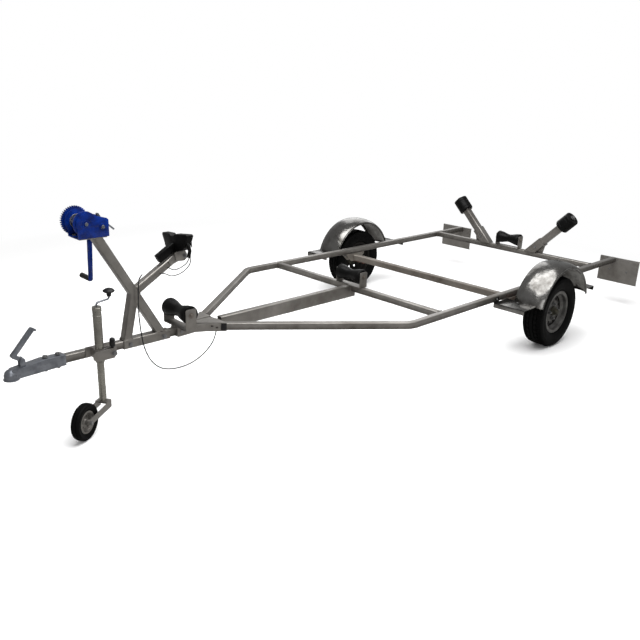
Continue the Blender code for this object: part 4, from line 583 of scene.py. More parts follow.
class Bench:
    """Modelling by hand: each method starts a mesh, shapes it in edit mode and sets it down."""

    @staticmethod
    def clear() -> None:
        """Leaves edit mode and deselects everything."""
        if bpy.context.mode != "OBJECT":
            bpy.ops.object.mode_set(mode="OBJECT")
        bpy.ops.object.select_all(action="DESELECT")

    @staticmethod
    def take(piece: Piece) -> None:
        """Makes one piece active and selected."""
        Bench.clear()
        bpy.context.view_layer.objects.active = piece
        piece.select_set(True)

    @staticmethod
    @contextmanager
    def editing(piece: Piece) -> Iterator[None]:
        """Edit mode on one piece, all of it selected at the start, for as long as the block runs.

        Args:
            piece: the piece to work on.

        Returns:
            The block's manager.
        """
        Bench.take(piece)
        bpy.ops.object.mode_set(mode="EDIT")
        bpy.ops.mesh.select_all(action="SELECT")
        yield
        bpy.ops.object.mode_set(mode="OBJECT")

    @staticmethod
    def link(name: str, data: bpy.types.ID) -> Piece:
        """Sets an object with a mesh, curve, camera or lamp into the scene."""
        piece = bpy.data.objects.new(name, data)
        bpy.context.scene.collection.objects.link(piece)
        return piece

    @staticmethod
    def start(name: str, points: list, edges: list, faces: list) -> Piece:
        """A new piece from the points of a section or an outline, ready to be spun or extruded."""
        mesh = bpy.data.meshes.new(name)
        mesh.from_pydata(points, edges, faces)
        return Bench.link(name, mesh)

    @staticmethod
    def close() -> None:
        """In edit mode, merges doubled points and then turns all faces outwards."""
        bpy.ops.mesh.select_all(action="SELECT")
        bpy.ops.mesh.remove_doubles(threshold=MERGE)
        bpy.ops.mesh.normals_make_consistent(inside=False)

    @staticmethod
    def apply(piece: Piece, kind: str, **settings: object) -> None:
        """Puts a modifier with these settings on a piece and applies it.

        Args:
            piece: the piece to change.
            kind: the modifier's type.
            **settings: its properties.
        """
        Bench.take(piece)
        step = piece.modifiers.new("step", kind)
        for key, value in settings.items():
            setattr(step, key, value)
        bpy.ops.object.modifier_apply(modifier=step.name)

    @staticmethod
    def shift(piece: Piece, step: Vector | Spot) -> None:
        """Moves a piece in its mesh."""
        piece.data.transform(Matrix.Translation(step))

    @staticmethod
    def place(piece: Piece, where: Vector, along: Vector) -> None:
        """Turns a piece's local Z along a direction, moves it, and puts that into its mesh.

        Args:
            piece: a piece modelled round its own origin.
            where: where its origin goes.
            along: where its local Z points.
        """
        turn = UPRIGHT.rotation_difference(along.normalized()).to_matrix().to_4x4()
        piece.data.transform(Matrix.Translation(where) @ turn @ piece.matrix_world)
        piece.matrix_world = Matrix.Identity(4)
        piece.data.update()

    @staticmethod
    def bevel(piece: Piece, width: float, segments: int = 2, degrees: float = 40.0) -> None:
        """Rounds a piece's edges that turn by more than an angle."""
        Bench.apply(piece, "BEVEL", width=width, segments=segments, limit_method="ANGLE",
                    angle_limit=math.radians(degrees), use_clamp_overlap=True)

    @staticmethod
    def carve(piece: Piece, cutter: Piece, operation: str = "DIFFERENCE") -> None:
        """Cuts or joins by an applied Boolean, and removes the tool piece."""
        Bench.apply(piece, "BOOLEAN", operation=operation, object=cutter, solver="EXACT")
        bpy.data.objects.remove(cutter, do_unlink=True)

    @staticmethod
    def join(name: str, pieces: list[Piece]) -> Piece:
        """Joins pieces into one object.

        Args:
            name: the name of the whole.
            pieces: what goes into it, the first of them kept.

        Returns:
            The joined piece.
        """
        Bench.take(pieces[0])
        for piece in pieces:
            piece.select_set(True)
        if len(pieces) > 1:
            bpy.ops.object.join()
        made = bpy.context.view_layer.objects.active
        made.name = name
        made.data.name = name
        return made

    @staticmethod
    def copy(piece: Piece, name: str, change: Matrix) -> Piece:
        """A copy with its own mesh, moved in its mesh."""
        made = Bench.link(name, piece.data.copy())
        made.data.transform(change)
        return made

    @staticmethod
    def adopt(node: str, name: str) -> Piece:
        """A merged copy of a frame node, for finer work on its shape.

        Args:
            node: the frame node.
            name: the new piece's name.

        Returns:
            The copy, its flat faces whole again.
        """
        Bench.clear()
        mesh = frame["nodes"][node].data.copy()
        mesh.name = name
        piece = Bench.link(name, mesh)
        Bench.take(piece)
        if mesh.has_custom_normals:
            bpy.ops.mesh.customdata_custom_splitnormals_clear()
        with Bench.editing(piece):
            bpy.ops.mesh.remove_doubles(threshold=FRAME_MERGE)
            bpy.ops.mesh.dissolve_limited(angle_limit=FRAME_FLAT)
            bpy.ops.mesh.normals_make_consistent(inside=False)
        return piece

    @staticmethod
    def spun(name: str, section: Section, steps: int, closed: bool = False) -> Piece:
        """A section of (radius, height) points spun round local Z in edit mode.

        Args:
            name: the piece's name.
            section: the points, from the top down on the outer side.
            steps: how many steps a full turn has.
            closed: whether the section is a loop that doesn't meet the axis.

        Returns:
            The piece, round its own origin.
        """
        edges = [(i, i + 1) for i in range(len(section) - 1)]
        if closed:
            edges.append((len(section) - 1, 0))
        piece = Bench.start(name, [(radius, 0.0, height) for radius, height in section], edges, [])
        with Bench.editing(piece):
            bpy.ops.mesh.spin(steps=steps, angle=FULL_TURN, center=(0, 0, 0), axis=UPRIGHT)
            Bench.close()
        return piece

    @staticmethod
    def prism(name: str, outline: Section, depth: float) -> Piece:
        """A closed outline in local X and Y extruded both ways along local Z.

        Args:
            name: the piece's name.
            outline: the corner points in order.
            depth: the whole thickness.

        Returns:
            The piece, round its own origin.
        """
        piece = Bench.start(name, [(x, y, -depth / 2) for x, y in outline], [], [tuple(range(len(outline)))])
        with Bench.editing(piece):
            bpy.ops.mesh.extrude_region_move(TRANSFORM_OT_translate={"value": (0, 0, depth)})
            bpy.ops.mesh.select_all(action="SELECT")
            bpy.ops.mesh.normals_make_consistent(inside=False)
        return piece

    @staticmethod
    def rod(name: str, radius: float, length: float, sides: int = 20, chamfer: float = 0.0) -> Piece:
        """A round or many-sided bar centred on its origin along local Z.

        Args:
            name: the piece's name.
            radius: its radius, to the corners.
            length: its length.
            sides: how many sides it has.
            chamfer: how far its end edges are rounded.

        Returns:
            The piece, round its own origin.
        """
        Bench.clear()
        bpy.ops.mesh.primitive_cylinder_add(vertices=sides, radius=radius, depth=length)
        piece = bpy.context.active_object
        piece.name = name
        if chamfer:
            Bench.bevel(piece, chamfer, degrees=50.0)
        return piece

    @staticmethod
    def block(name: str, size: Spot, chamfer: float = 0.0) -> Piece:
        """A box centred on its origin, its edges rounded.

        Args:
            name: the piece's name.
            size: its size along X, Y and Z.
            chamfer: how far its edges are rounded.

        Returns:
            The piece, round its own origin.
        """
        Bench.clear()
        bpy.ops.mesh.primitive_cube_add(size=1.0)
        piece = bpy.context.active_object
        piece.name = name
        piece.data.transform(Matrix.Diagonal((*size, 1.0)))
        if chamfer:
            Bench.bevel(piece, chamfer, degrees=50.0)
        return piece

    @staticmethod
    def line(name: str, spots: list[Vector], radius: float, resolution: int) -> Piece:
        """A round line through the spots, as a curve with filled ends.

        Args:
            name: the piece's name.
            spots: the points of its middle line.
            radius: its radius.
            resolution: how finely its round section is drawn.

        Returns:
            The curve in place.
        """
        Bench.clear()
        curve = bpy.data.curves.new(name, "CURVE")
        curve.dimensions = "3D"
        curve.bevel_depth = radius
        curve.bevel_resolution = resolution
        curve.use_fill_caps = True
        spline = curve.splines.new("POLY")
        spline.points.add(len(spots) - 1)
        for point, spot in zip(spline.points, spots):
            point.co = (*spot, 1.0)
        return Bench.link(name, curve)

    @staticmethod
    def bead(name: str, route: list[Vector], radius: float, ripple: float = 4 * MM) -> Piece:
        """A weld bead: a round line whose thickness ripples as the weld's did.

        Args:
            name: the piece's name.
            route: the corner points of the seam.
            radius: the bead's middle radius.
            ripple: the distance between two ripples.

        Returns:
            The piece in place.
        """
        crest_share, hollow_share = 1.18, 0.86
        spots: list[Vector] = []
        for start, end in zip(route, route[1:]):
            count = max(1, round(2 * (end - start).length / ripple))
            spots += [start.lerp(end, i / count) for i in range(count)]
        spots.append(route[-1])
        piece = Bench.line(name, spots, radius, 1)
        for i, point in enumerate(piece.data.splines[0].points):
            point.radius = crest_share if i % 2 else hollow_share
        Bench.take(piece)
        bpy.ops.object.convert(target="MESH")
        return bpy.context.active_object

    @staticmethod
    def wire(name: str, route: list[Vector], radius: float, sides: int = 12) -> Piece:
        """A round wire along a route, as a mesh with filled ends.

        Args:
            name: the piece's name.
            route: the points of the middle line.
            radius: the wire's radius.
            sides: an even number of sides.

        Returns:
            The piece in place.
        """
        Bench.take(Bench.line(name, route, radius, max(0, sides // 2 - 2)))
        bpy.ops.object.convert(target="MESH")
        piece = bpy.context.active_object
        with Bench.editing(piece):
            Bench.close()
        return piece

    @staticmethod
    def curve_points(points: list[Vector], spacing: float) -> list[Vector]:
        """A smooth line through given points, read about every `spacing` metres.

        Args:
            points: the points that the line goes through.
            spacing: the step along it.

        Returns:
            The line's points from end to end.
        """
        knots = [2 * points[0] - points[1], *points, 2 * points[-1] - points[-2]]
        line: list[Vector] = []
        for a, b, c, d in zip(knots, knots[1:], knots[2:], knots[3:]):
            pieces = max(2, math.ceil((c - b).length / spacing))
            for i in range(pieces):
                t = i / pieces
                line.append(0.5 * (2 * b + (c - a) * t + (2 * a - 5 * b + 4 * c - d) * t * t
                                   + (3 * b - a - 3 * c + d) * t ** 3))
        line.append(knots[-2])
        return line


def finish_piece(piece: Piece, material: bpy.types.Material, body: str,
                 replaced: tuple[str, ...] = (), smooth: float = 35.0) -> None:
    """Smooths a piece, dresses it and ties it to the frame.

    Args:
        piece: the finished mesh, its place in its vertices.
        material: its material.
        body: the body that it moves with.
        replaced: the frame nodes that it stands for.
        smooth: the angle in degrees over which its edges stay sharp.
    """
    Bench.take(piece)
    bpy.ops.object.shade_smooth_by_angle(angle=math.radians(smooth))
    piece.data.materials.clear()
    piece.data.materials.append(material)
    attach(piece, body)
    if replaced:
        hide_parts(*replaced)
    log.info("%s: %d faces on %s", piece.name, len(piece.data.polygons), body)


def mirrored(half: Section) -> Section:
    """A whole section from its upper half: the points after it lie as far below the middle.

    Args:
        half: (radius, height) points from the top to the last one at the middle.

    Returns:
        The half and its image, without the middle point twice.
    """
    return half + [(radius, -height) for radius, height in half[-2::-1]]


def ring_spots(count: int, radius: float, height: float = 0.0, offset: float = 0.0) -> list[Vector]:
    """Places spread evenly round local Z.

    Args:
        count: how many there are.
        radius: their distance from it.
        height: their place along it.
        offset: how far round the first is, in steps.

    Returns:
        The places in order.
    """
    turns = [FULL_TURN * (i + offset) / count for i in range(count)]
    return [Vector((radius * math.cos(turn), radius * math.sin(turn), height)) for turn in turns]


# --- the wheels


@dataclass
class RoadWheel:
    """A 10 inch road wheel: ribbed tyre, pressed rim, hub with nuts and a dust cap."""

    side: Side
    finishes: Finishes
    radius: float = 0.243
    flats: int = 28
    half_width: float = 0.0725
    half_track: float = 0.9155
    bead: float = 0.1274
    flange: float = 0.1455
    rim_half: float = 0.0545
    groove_depth: float = 0.006
    groove_half: float = 0.0032
    slots: int = 84
    slot_share: float = 0.7
    shoulder: tuple[float, float] = (0.042, 0.0665)
    shoulder_reach: float = 0.2285
    rib: tuple[float, float] = (0.0175, 0.034)
    rib_reach: float = 0.235
    nut_circle: float = 0.050
    nuts: int = 4
    nut_height: float = 0.0305
    stud_height: float = 0.0330
    vent_circle: float = 0.082
    vents: int = 8
    # Inboard faces below this height, tilted less outboard than this, are given painted shade.
    grime_line: float = 0.0205
    grime_tilt: float = 0.35

    @property
    def centre(self) -> Vector:
        """The wheel's middle, with the frame's own ground clearance."""
        return at(0.0, self.side.value * self.half_track, self.radius * math.cos(math.pi / self.flats))

    @property
    def outboard(self) -> Vector:
        """The direction away from the trailer."""
        return Vector((0, self.side.value, 0))

    @property
    def body(self) -> str:
        """The frame body that the wheel turns with."""
        return f"wheel_{self.side.word}"

    def tread_section(self) -> Section:
        """The outer half-section's points from the outboard bead to the inboard bead.

        Returns:
            The points as radius and height.
        """
        r, h = self.radius - 0.0025, self.half_width
        side = [(self.bead, 0.0485), (self.bead + 0.004, 0.0505), (self.flange + 0.002, 0.0515),
                (self.flange + 0.005, 0.0585), (self.flange + 0.009, 0.0625), (self.flange + 0.012, 0.0632),
                (self.flange + 0.020, 0.0680), (0.180, 0.0712), (0.195, h), (0.209, h - 0.0006),
                (0.211, h), (0.214, h - 0.0006), (0.222, h - 0.0030), (0.2290, h - 0.0065),
                (0.2345, h - 0.0110), (r - 0.0035, h - 0.0155)]
        tread: Section = []
        for middle in (0.038, 0.0135):
            fall = 0.0022 * (middle / 0.05) ** 2
            tread += [(r - fall, middle + self.groove_half),
                      (r - fall - self.groove_depth, middle + self.groove_half * 0.7),
                      (r - fall - self.groove_depth, middle - self.groove_half * 0.7),
                      (r - fall, middle - self.groove_half)]
        outer = side + tread
        return outer + [(radius, -height) for radius, height in reversed(outer)]

    def build_tyre(self) -> None:
        """Spins the tyre, then sinks its shoulder slots."""
        inner = [(self.bead, -0.040), (0.132, -0.020), (0.132, 0.020), (self.bead, 0.040)]
        section = self.tread_section() + inner
        steps = self.slots * 2
        tyre = Bench.spun(f"road_tyre_{self.side.word}", section, steps, closed=True)
        with Bench.editing(tyre):
            bpy.ops.mesh.select_all(action="DESELECT")
            mesh = bmesh.from_edit_mesh(tyre.data)
            for face in mesh.faces:
                middle = face.calc_center_median()
                reach = math.hypot(middle.x, middle.y)
                sector = int(math.atan2(middle.y, middle.x) % FULL_TURN / FULL_TURN * steps)
                shoulder = self.shoulder[0] < abs(middle.z) < self.shoulder[1] and reach > self.shoulder_reach
                rib = self.rib[0] < abs(middle.z) < self.rib[1] and reach > self.rib_reach
                face.select_set((shoulder and sector % 2 == 0) or (rib and sector % 4 == 1))
            bmesh.update_edit_mesh(tyre.data)
            bpy.ops.mesh.extrude_region_shrink_fatten(
                TRANSFORM_OT_shrink_fatten={"value": -self.groove_depth * self.slot_share})
        Bench.place(tyre, self.centre, self.outboard)
        finish_piece(tyre, self.finishes["tyre_rubber"], self.body,
                     (f"tyre_{self.side.word}",), smooth=30.0)

    def build_rim(self) -> None:
        """Spins the pressed rim and punches its vents."""
        w = self.rim_half
        section = [(self.flange, w - 0.0008), (self.flange - 0.0008, w - 0.0035), (0.1405, w - 0.0035),
                   (0.1375, w - 0.0045), (0.1270, w - 0.0050), (0.1262, 0.030), (0.1180, 0.022),
                   (0.1085, 0.017), (0.1080, -0.017), (0.1180, -0.022), (0.1262, -0.030),
                   (0.1270, 0.0050 - w), (0.1375, 0.0045 - w), (0.1405, 0.0035 - w),
                   (self.flange - 0.0008, 0.0035 - w), (self.flange, 0.0008 - w), (self.flange - 0.0008, -w),
                   (0.1380, -w), (0.1345, 0.0012 - w), (0.1245, 0.0022 - w), (0.1235, -0.031),
                   (0.1150, -0.024), (0.1052, -0.018), (0.1052, 0.001), (0.0990, 0.0045), (0.0900, 0.0125),
                   (0.0780, 0.0155), (0.0640, 0.0172), (0.0330, 0.0180), (0.0322, 0.0190),
                   (0.0322, 0.0232), (0.0335, 0.0240), (0.0640, 0.0225), (0.0780, 0.0205),
                   (0.0905, 0.0172), (0.1000, 0.0090), (0.1052, 0.0060), (0.1052, 0.018), (0.1150, 0.024),
                   (0.1235, 0.031), (0.1245, w - 0.0022), (0.1345, w - 0.0012), (0.1380, w),
                   (self.flange - 0.0008, w)]
        rim = Bench.spun(f"road_rim_{self.side.word}", section, 72, closed=True)
        for spot in ring_spots(self.vents, self.vent_circle, 0.015, 0.5):
            punch = Bench.rod("punch", 0.0105, 0.060)
            Bench.shift(punch, spot)
            Bench.carve(rim, punch)
        Bench.bevel(rim, 0.0006)
        # Faces on the inboard side take the dark second material as painted shade.
        inner = [face.center.z < self.grime_line and face.normal.z < self.grime_tilt
                 for face in rim.data.polygons]
        Bench.place(rim, self.centre, self.outboard)
        finish_piece(rim, self.finishes["silver_wheel_enamel"], self.body,
                     (f"rim_{self.side.word}",), smooth=40.0)
        rim.data.materials.append(self.finishes["grimy_inner_wheel"])
        for face, in_shade in zip(rim.data.polygons, inner):
            face.material_index = int(in_shade)

    def build_nuts(self) -> None:
        """Cone-seat nuts on their studs."""
        pieces = []
        for spot in ring_spots(self.nuts, self.nut_circle):
            nut = Bench.rod("nut", 0.0105, 0.013, 6, 0.0014)
            Bench.shift(nut, spot + self.nut_height * UPRIGHT)
            seat = Bench.spun("seat", [(0, 0.0265), (0.0122, 0.0262), (0.0128, 0.0245), (0.0098, 0.0215),
                                       (0, 0.0215)], 20)
            Bench.shift(seat, spot)
            stud = Bench.rod("stud", 0.0058, 0.020, 16, 0.0010)
            Bench.shift(stud, spot + self.stud_height * UPRIGHT)
            pieces += [nut, seat, stud]
        made = Bench.join(f"wheel_nuts_{self.side.word}", pieces)
        Bench.place(made, self.centre, self.outboard)
        finish_piece(made, self.finishes["bright_fastener_zinc"], self.body, smooth=30.0)

    def build_hub(self) -> None:
        """The hub's barrel, flange and pressed dust cap."""
        section = [(0, 0.0618), (0.010, 0.0614), (0.0165, 0.0598), (0.0195, 0.0565), (0.0205, 0.0500),
                   (0.0208, 0.0405), (0.0228, 0.0398), (0.0228, 0.0372), (0.0290, 0.0360), (0.0312, 0.0330),
                   (0.0312, 0.0178), (0.0590, 0.0176), (0.0600, 0.0165), (0.0600, 0.0090), (0.0585, 0.0075),
                   (0.0420, 0.0065), (0.0362, 0.0030), (0.0345, -0.010), (0.0335, -0.0685),
                   (0.0325, -0.0715), (0.0136, -0.0718), (0.0136, 0.0302), (0, 0.0302)]
        hub = Bench.spun(f"hub_casting_{self.side.word}", section, 48)
        Bench.place(hub, self.centre, self.outboard)
        finish_piece(hub, self.finishes["olive_hub_casting"], self.body,
                     (f"hub_{self.side.word}",))

    def build(self) -> None:
        """Builds the whole wheel."""
        self.build_tyre()
        self.build_rim()
        self.build_hub()
        self.build_nuts()


# --- mudguards and lamps


@dataclass
class MudGuard:
    """A domed steel arch with rolled lips, on a folded stay at each end."""

    side: Side
    finishes: Finishes
    radius: float = 0.339
    half_width: float = 0.100
    dome: float = 0.020
    steps: int = 56
    edge: float = 0.0012
    power: float = 2.6
    lip: float = 0.014
    sheet: float = 0.002
    bead: float = 0.0042
    front: float = math.radians(16.4)
    rear: float = math.radians(163.8)
    wheel_up: float = 0.2415
    middle: float = 0.9155
    rail_face: float = 0.7653
    stay: Spot = (0.161, 0.2202, 0.004)
    stay_start: float = 0.3130
    stay_up: float = 0.345
    fold: float = 0.031
    foot: Spot = (0.060, 0.003, 0.034)

    @property
    def sign(self) -> int:
        """One on the left and minus one on the right."""
        return self.side.value

    def section(self) -> Section:
        """The sheet's middle line across the guard, as radius and offset.

        Returns:
            The points from one lip to the other.
        """
        points = 22
        line = [(self.radius - self.dome - self.lip, -self.half_width),
                (self.radius - self.dome - self.lip / 2, -self.half_width)]
        for i in range(points + 1):
            share = math.sin(math.pi * (i / points - 1 / 2))
            line.append((self.radius - self.dome * abs(share) ** self.power, self.half_width * share))
        return line + [(radius, -across) for radius, across in line[1::-1]]

    def build_arch(self) -> Piece:
        """Spins the section through the guard's arc and gives it its thickness.

        Returns:
            The arch in place.
        """
        start = Matrix.Rotation(-self.front, 4, "Y")
        line = [start @ Vector((radius, across, 0)) for radius, across in self.section()]
        arch = Bench.start("arch", line, [(i, i + 1) for i in range(len(line) - 1)], [])
        with Bench.editing(arch):
            bpy.ops.mesh.spin(steps=self.steps, angle=self.rear - self.front, center=(0, 0, 0), axis=ACROSS)
            Bench.close()
        Bench.apply(arch, "SOLIDIFY", thickness=self.sheet, offset=0.0)
        Bench.shift(arch, at(0, self.sign * self.middle, self.wheel_up))
        return arch

    def build_rims(self) -> list[Piece]:
        """The rolled wire edge along both lips.

        Returns:
            The two wires in place.
        """
        rims = []
        reach = self.radius - self.dome - self.lip + self.bead / 2
        for edge in (-1, 1):
            route = [at(reach * math.cos(angle), self.sign * self.middle + edge * (self.half_width - 0.001),
                        self.wheel_up + reach * math.sin(angle))
                     for angle in (self.front + (self.rear - self.front) * i / self.steps
                                   for i in range(self.steps + 1))]
            rims.append(Bench.wire("lip", route, self.bead, 10))
        return rims

    def build_stays(self) -> list[Piece]:
        """The folded plate, its front fold and its foot at each end of the arch.

        Returns:
            The plates in place.
        """
        length, width, metal = self.stay
        tip = self.stay_start + length
        pieces = []
        for end in (1, -1):
            for size, ahead, left, up in (
                    (self.stay, self.stay_start + length / 2, width / 2, 0.0),
                    ((metal, width, self.fold), tip - metal / 2, width / 2, (metal - self.fold) / 2),
                    (self.foot, tip - self.foot[0] / 2, self.foot[1] / 2, self.foot[2] / 2)):
                plate = Bench.block("plate", size, self.edge)
                Bench.shift(plate, at(end * ahead, self.sign * (self.rail_face + left), self.stay_up + up))
                pieces.append(plate)
        return pieces

    def build(self) -> None:
        """Joins the guard and dresses it."""
        guard = Bench.join(f"mudguard_arch_{self.side.word}",
                           [self.build_arch(), *self.build_rims(), *self.build_stays()])
        finish_piece(guard, self.finishes["rolled_zinc_sheet"], "frame",
                     (f"mudguard_{self.side.word}",), smooth=40.0)


@dataclass
class TailLamp:
    """A black lamp base with an amber, a red and a clear lens, and two screws."""

    side: Side
    finishes: Finishes
    front: float = -1.3214
    base_depth: float = 0.026
    depth: float = 0.0526
    length: float = 0.215
    height: float = 0.105
    middle: float = 0.7955
    up: float = 0.284
    border: float = 0.004
    gap: float = 0.0012
    lenses: tuple[tuple[str, float, float], ...] = (
        ("clear", 0.0, 0.22), ("red", 0.22, 0.44), ("amber", 0.66, 0.34))
    screws: tuple[float, float] = (0.16, 0.84)

    def part(self, name: str, depth: float, rear: float, left: float, length: float,
             height: float, chamfer: float) -> Piece:
        """One block of the lamp, its rear face at a place along the trailer.

        Args:
            name: the piece's name.
            depth: its size along the trailer.
            rear: where its rear face is, ahead of the wheel axis.
            left: its middle's distance from the centre line.
            length: its size across.
            height: its height.
            chamfer: how far its edges are rounded.

        Returns:
            The piece in place.
        """
        made = Bench.block(name, (depth, length, height), chamfer)
        Bench.shift(made, at(rear + depth / 2, self.side.value * left, self.up))
        return made

    def build(self) -> None:
        """Builds the base and the three lenses."""
        word = self.side.word
        base_rear = self.front - self.base_depth
        lens_rear = self.front - self.depth
        base = self.part(f"lamp_base_{word}", self.base_depth, base_rear, self.middle, self.length,
                         self.height, 0.005)
        finish_piece(base, self.finishes["black_moulded_plastic"], "frame",
                     (f"tail_lamp_{word}",), smooth=40.0)
        inside = self.middle - self.length / 2 + self.border
        room = self.length - 2 * self.border
        for lens, start, share in self.lenses:
            width = room * share - self.gap
            left = inside + room * (start + share / 2)
            cover = self.part(f"{lens}_lens_{word}", self.depth - self.base_depth + 0.002, lens_rear, left,
                              width, self.height - 2 * self.border, 0.006)
            finish_piece(cover, self.finishes[f"{lens}_lamp_lens"], "frame", smooth=40.0)
        screws = []
        for share in self.screws:
            screw = Bench.rod("screw", 0.0042, 0.003, 16, 0.0008)
            Bench.place(screw, at(lens_rear - 0.0002, self.side.value * (inside + room * share), self.up),
                        Vector((1, 0, 0)))
            screws.append(screw)
        heads = Bench.join(f"lens_screws_{word}", screws)
        finish_piece(heads, self.finishes["bright_fastener_zinc"], "frame")


# --- rollers


@dataclass
class KeelRoller:
    """A rubber bow-tie roller on a steel pin between the square ears of a folded bracket."""

    place: str
    ahead: float
    up: float
    seat: float
    finishes: Finishes
    ear_half: float = 0.033
    ear_over: float = 0.034
    ear_metal: float = 0.004
    ear_inner: float = 0.104
    ear_corner: float = 0.009
    radius: float = 0.0490
    half_length: float = 0.1025
    bore: float = 0.0095
    ears: float = 0.1085

    def build_bracket(self) -> None:
        """Folds the bracket: a base plate, two ears with clipped corners, and the pin through them."""
        low, top = self.seat + 0.0003, self.up + self.ear_over
        half, corner = self.ear_half, self.ear_corner
        clip = corner * 0.3
        outline = [(-half, low), (half, low), (half, top - corner), (half - clip, top - clip),
                   (half - corner, top), (corner - half, top), (clip - half, top - clip),
                   (-half, top - corner)]
        pieces = []
        for sign in (1, -1):
            ear = Bench.prism("ear", outline, self.ear_metal)
            middle = at(self.ahead, sign * (self.ear_inner + self.ear_metal / 2), 0)
            ear.data.transform(Matrix.Translation(middle) @ Matrix.Rotation(math.pi / 2, 4, "X"))
            pieces.append(ear)
        base = Bench.block("base", (2 * half, 2 * self.ear_inner + self.ear_metal, self.ear_metal))
        Bench.shift(base, at(self.ahead, 0, low + self.ear_metal / 2))
        for ear in pieces:
            Bench.carve(base, ear, "UNION")
        Bench.bevel(base, 0.0010)
        pin = Bench.rod("pin", 0.0080, 2 * self.ears, 24)
        Bench.place(pin, at(self.ahead, 0, self.up), ACROSS)
        made = Bench.join(f"keel_bracket_folded_{self.place}", [base, pin])
        finish_piece(made, self.finishes["hot_dip_zinc"], "frame",
                     (f"keel_bracket_{self.place}",))

    def build(self) -> None:
        """Spins the roller and adds its end washers."""
        r, h = self.radius, self.half_length
        half = [(self.bore, h), (0.020, h), (0.0212, h - 0.003), (0.030, h - 0.003), (0.0312, h),
                (r - 0.0055, h), (r - 0.0012, h - 0.0020), (r, h - 0.0060), (r, h - 0.0120),
                (r - 0.0016, h - 0.0140), (r - 0.0010, h - 0.0160), (r - 0.0040, 0.064), (0.0400, 0.045),
                (0.0352, 0.026), (0.0322, 0.011), (0.0315, 0.0)]
        roller = Bench.spun(f"keel_roller_rubber_{self.place}", mirrored(half), 56, closed=True)
        Bench.place(roller, at(self.ahead, 0, self.up), ACROSS)
        finish_piece(roller, self.finishes["roller_rubber"], f"keel_roll_{self.place}",
                     (f"keel_roller_{self.place}",), smooth=32.0)
        self.build_bracket()
        ends = []
        for sign in (1, -1):
            washer = Bench.rod("washer", 0.0155, 0.0016, 28, 0.0004)
            Bench.shift(washer, (0, 0, sign * (self.ears + 0.0016)))
            pin = Bench.rod("pin_end", 0.0080, 0.010, 24, 0.0014)
            Bench.shift(pin, (0, 0, sign * (self.ears + 0.0050)))
            bend = [(-0.0125, 0.0005, 0.0052), (0.0110, 0.0005, 0.0052), (0.0135, 0.0035, 0.0060)]
            split = Bench.wire("split_pin", [Vector((x, y, sign * (self.ears + z))) for x, y, z in bend],
                               0.0011, 8)
            ends += [washer, pin, split]
        made = Bench.join(f"keel_roller_pin_{self.place}", ends)
        Bench.place(made, at(self.ahead, 0, self.up), ACROSS)
        finish_piece(made, self.finishes["weathered_dip_zinc"], "frame")


# Each roller's place, how far ahead and up its axis is, and the height of its bracket's seat.
KEEL_ROLLERS = (("front", 2.334, 0.472, 0.3895), ("middle", FRONT_CROSS, 0.458, 0.387),
                ("rear", REAR_CROSS, 0.457, 0.387))


@dataclass
class SideRoller:
    """A rubber bump roller on the end of a leaning arm, held by a washer and a nut."""

    side: Side
    finishes: Finishes
    radius: float = 0.058
    half_length: float = 0.059
    bore: float = 0.0100
    ahead: float = REAR_CROSS
    left: float = 0.490
    up: float = 0.668
    arm_run: tuple[float, float] = (0.275, 0.281)

    @property
    def heading(self) -> Vector:
        """The arm's direction, which is the roller's axis."""
        return Vector((0, self.side.value * self.arm_run[0], self.arm_run[1])).normalized()

    def build(self) -> None:
        """Spins the roller and adds its washer and nut."""
        r, h = self.radius, self.half_length
        half = [(self.bore, h), (0.0225, h), (0.0240, h - 0.0035), (0.0400, h - 0.0035), (0.0415, h),
                (r - 0.0085, h), (r - 0.0030, h - 0.0016), (r - 0.0006, h - 0.0050), (r, h - 0.0100),
                (r, 0.034), (r - 0.0018, 0.032), (r - 0.0018, 0.029), (r, 0.027), (r, 0.0)]
        roller = Bench.spun(f"side_roller_rubber_{self.side.word}", mirrored(half), 56, closed=True)
        centre = at(self.ahead, self.side.value * self.left, self.up)
        Bench.place(roller, centre, self.heading)
        finish_piece(roller, self.finishes["roller_rubber"], f"side_roll_{self.side.word}",
                     (f"side_roller_{self.side.word}",), smooth=32.0)
        washer = Bench.rod("washer", 0.0190, 0.0025, 32, 0.0005)
        Bench.shift(washer, (0, 0, h + 0.0030))
        nut = Bench.rod("nut", 0.0150, 0.0110, 6, 0.0012)
        Bench.shift(nut, (0, 0, h + 0.0095))
        made = Bench.join(f"side_roller_nut_{self.side.word}", [washer, nut])
        Bench.place(made, centre, self.heading)
        finish_piece(made, self.finishes["bright_fastener_zinc"], "frame", smooth=30.0)


# --- the jockey wheel


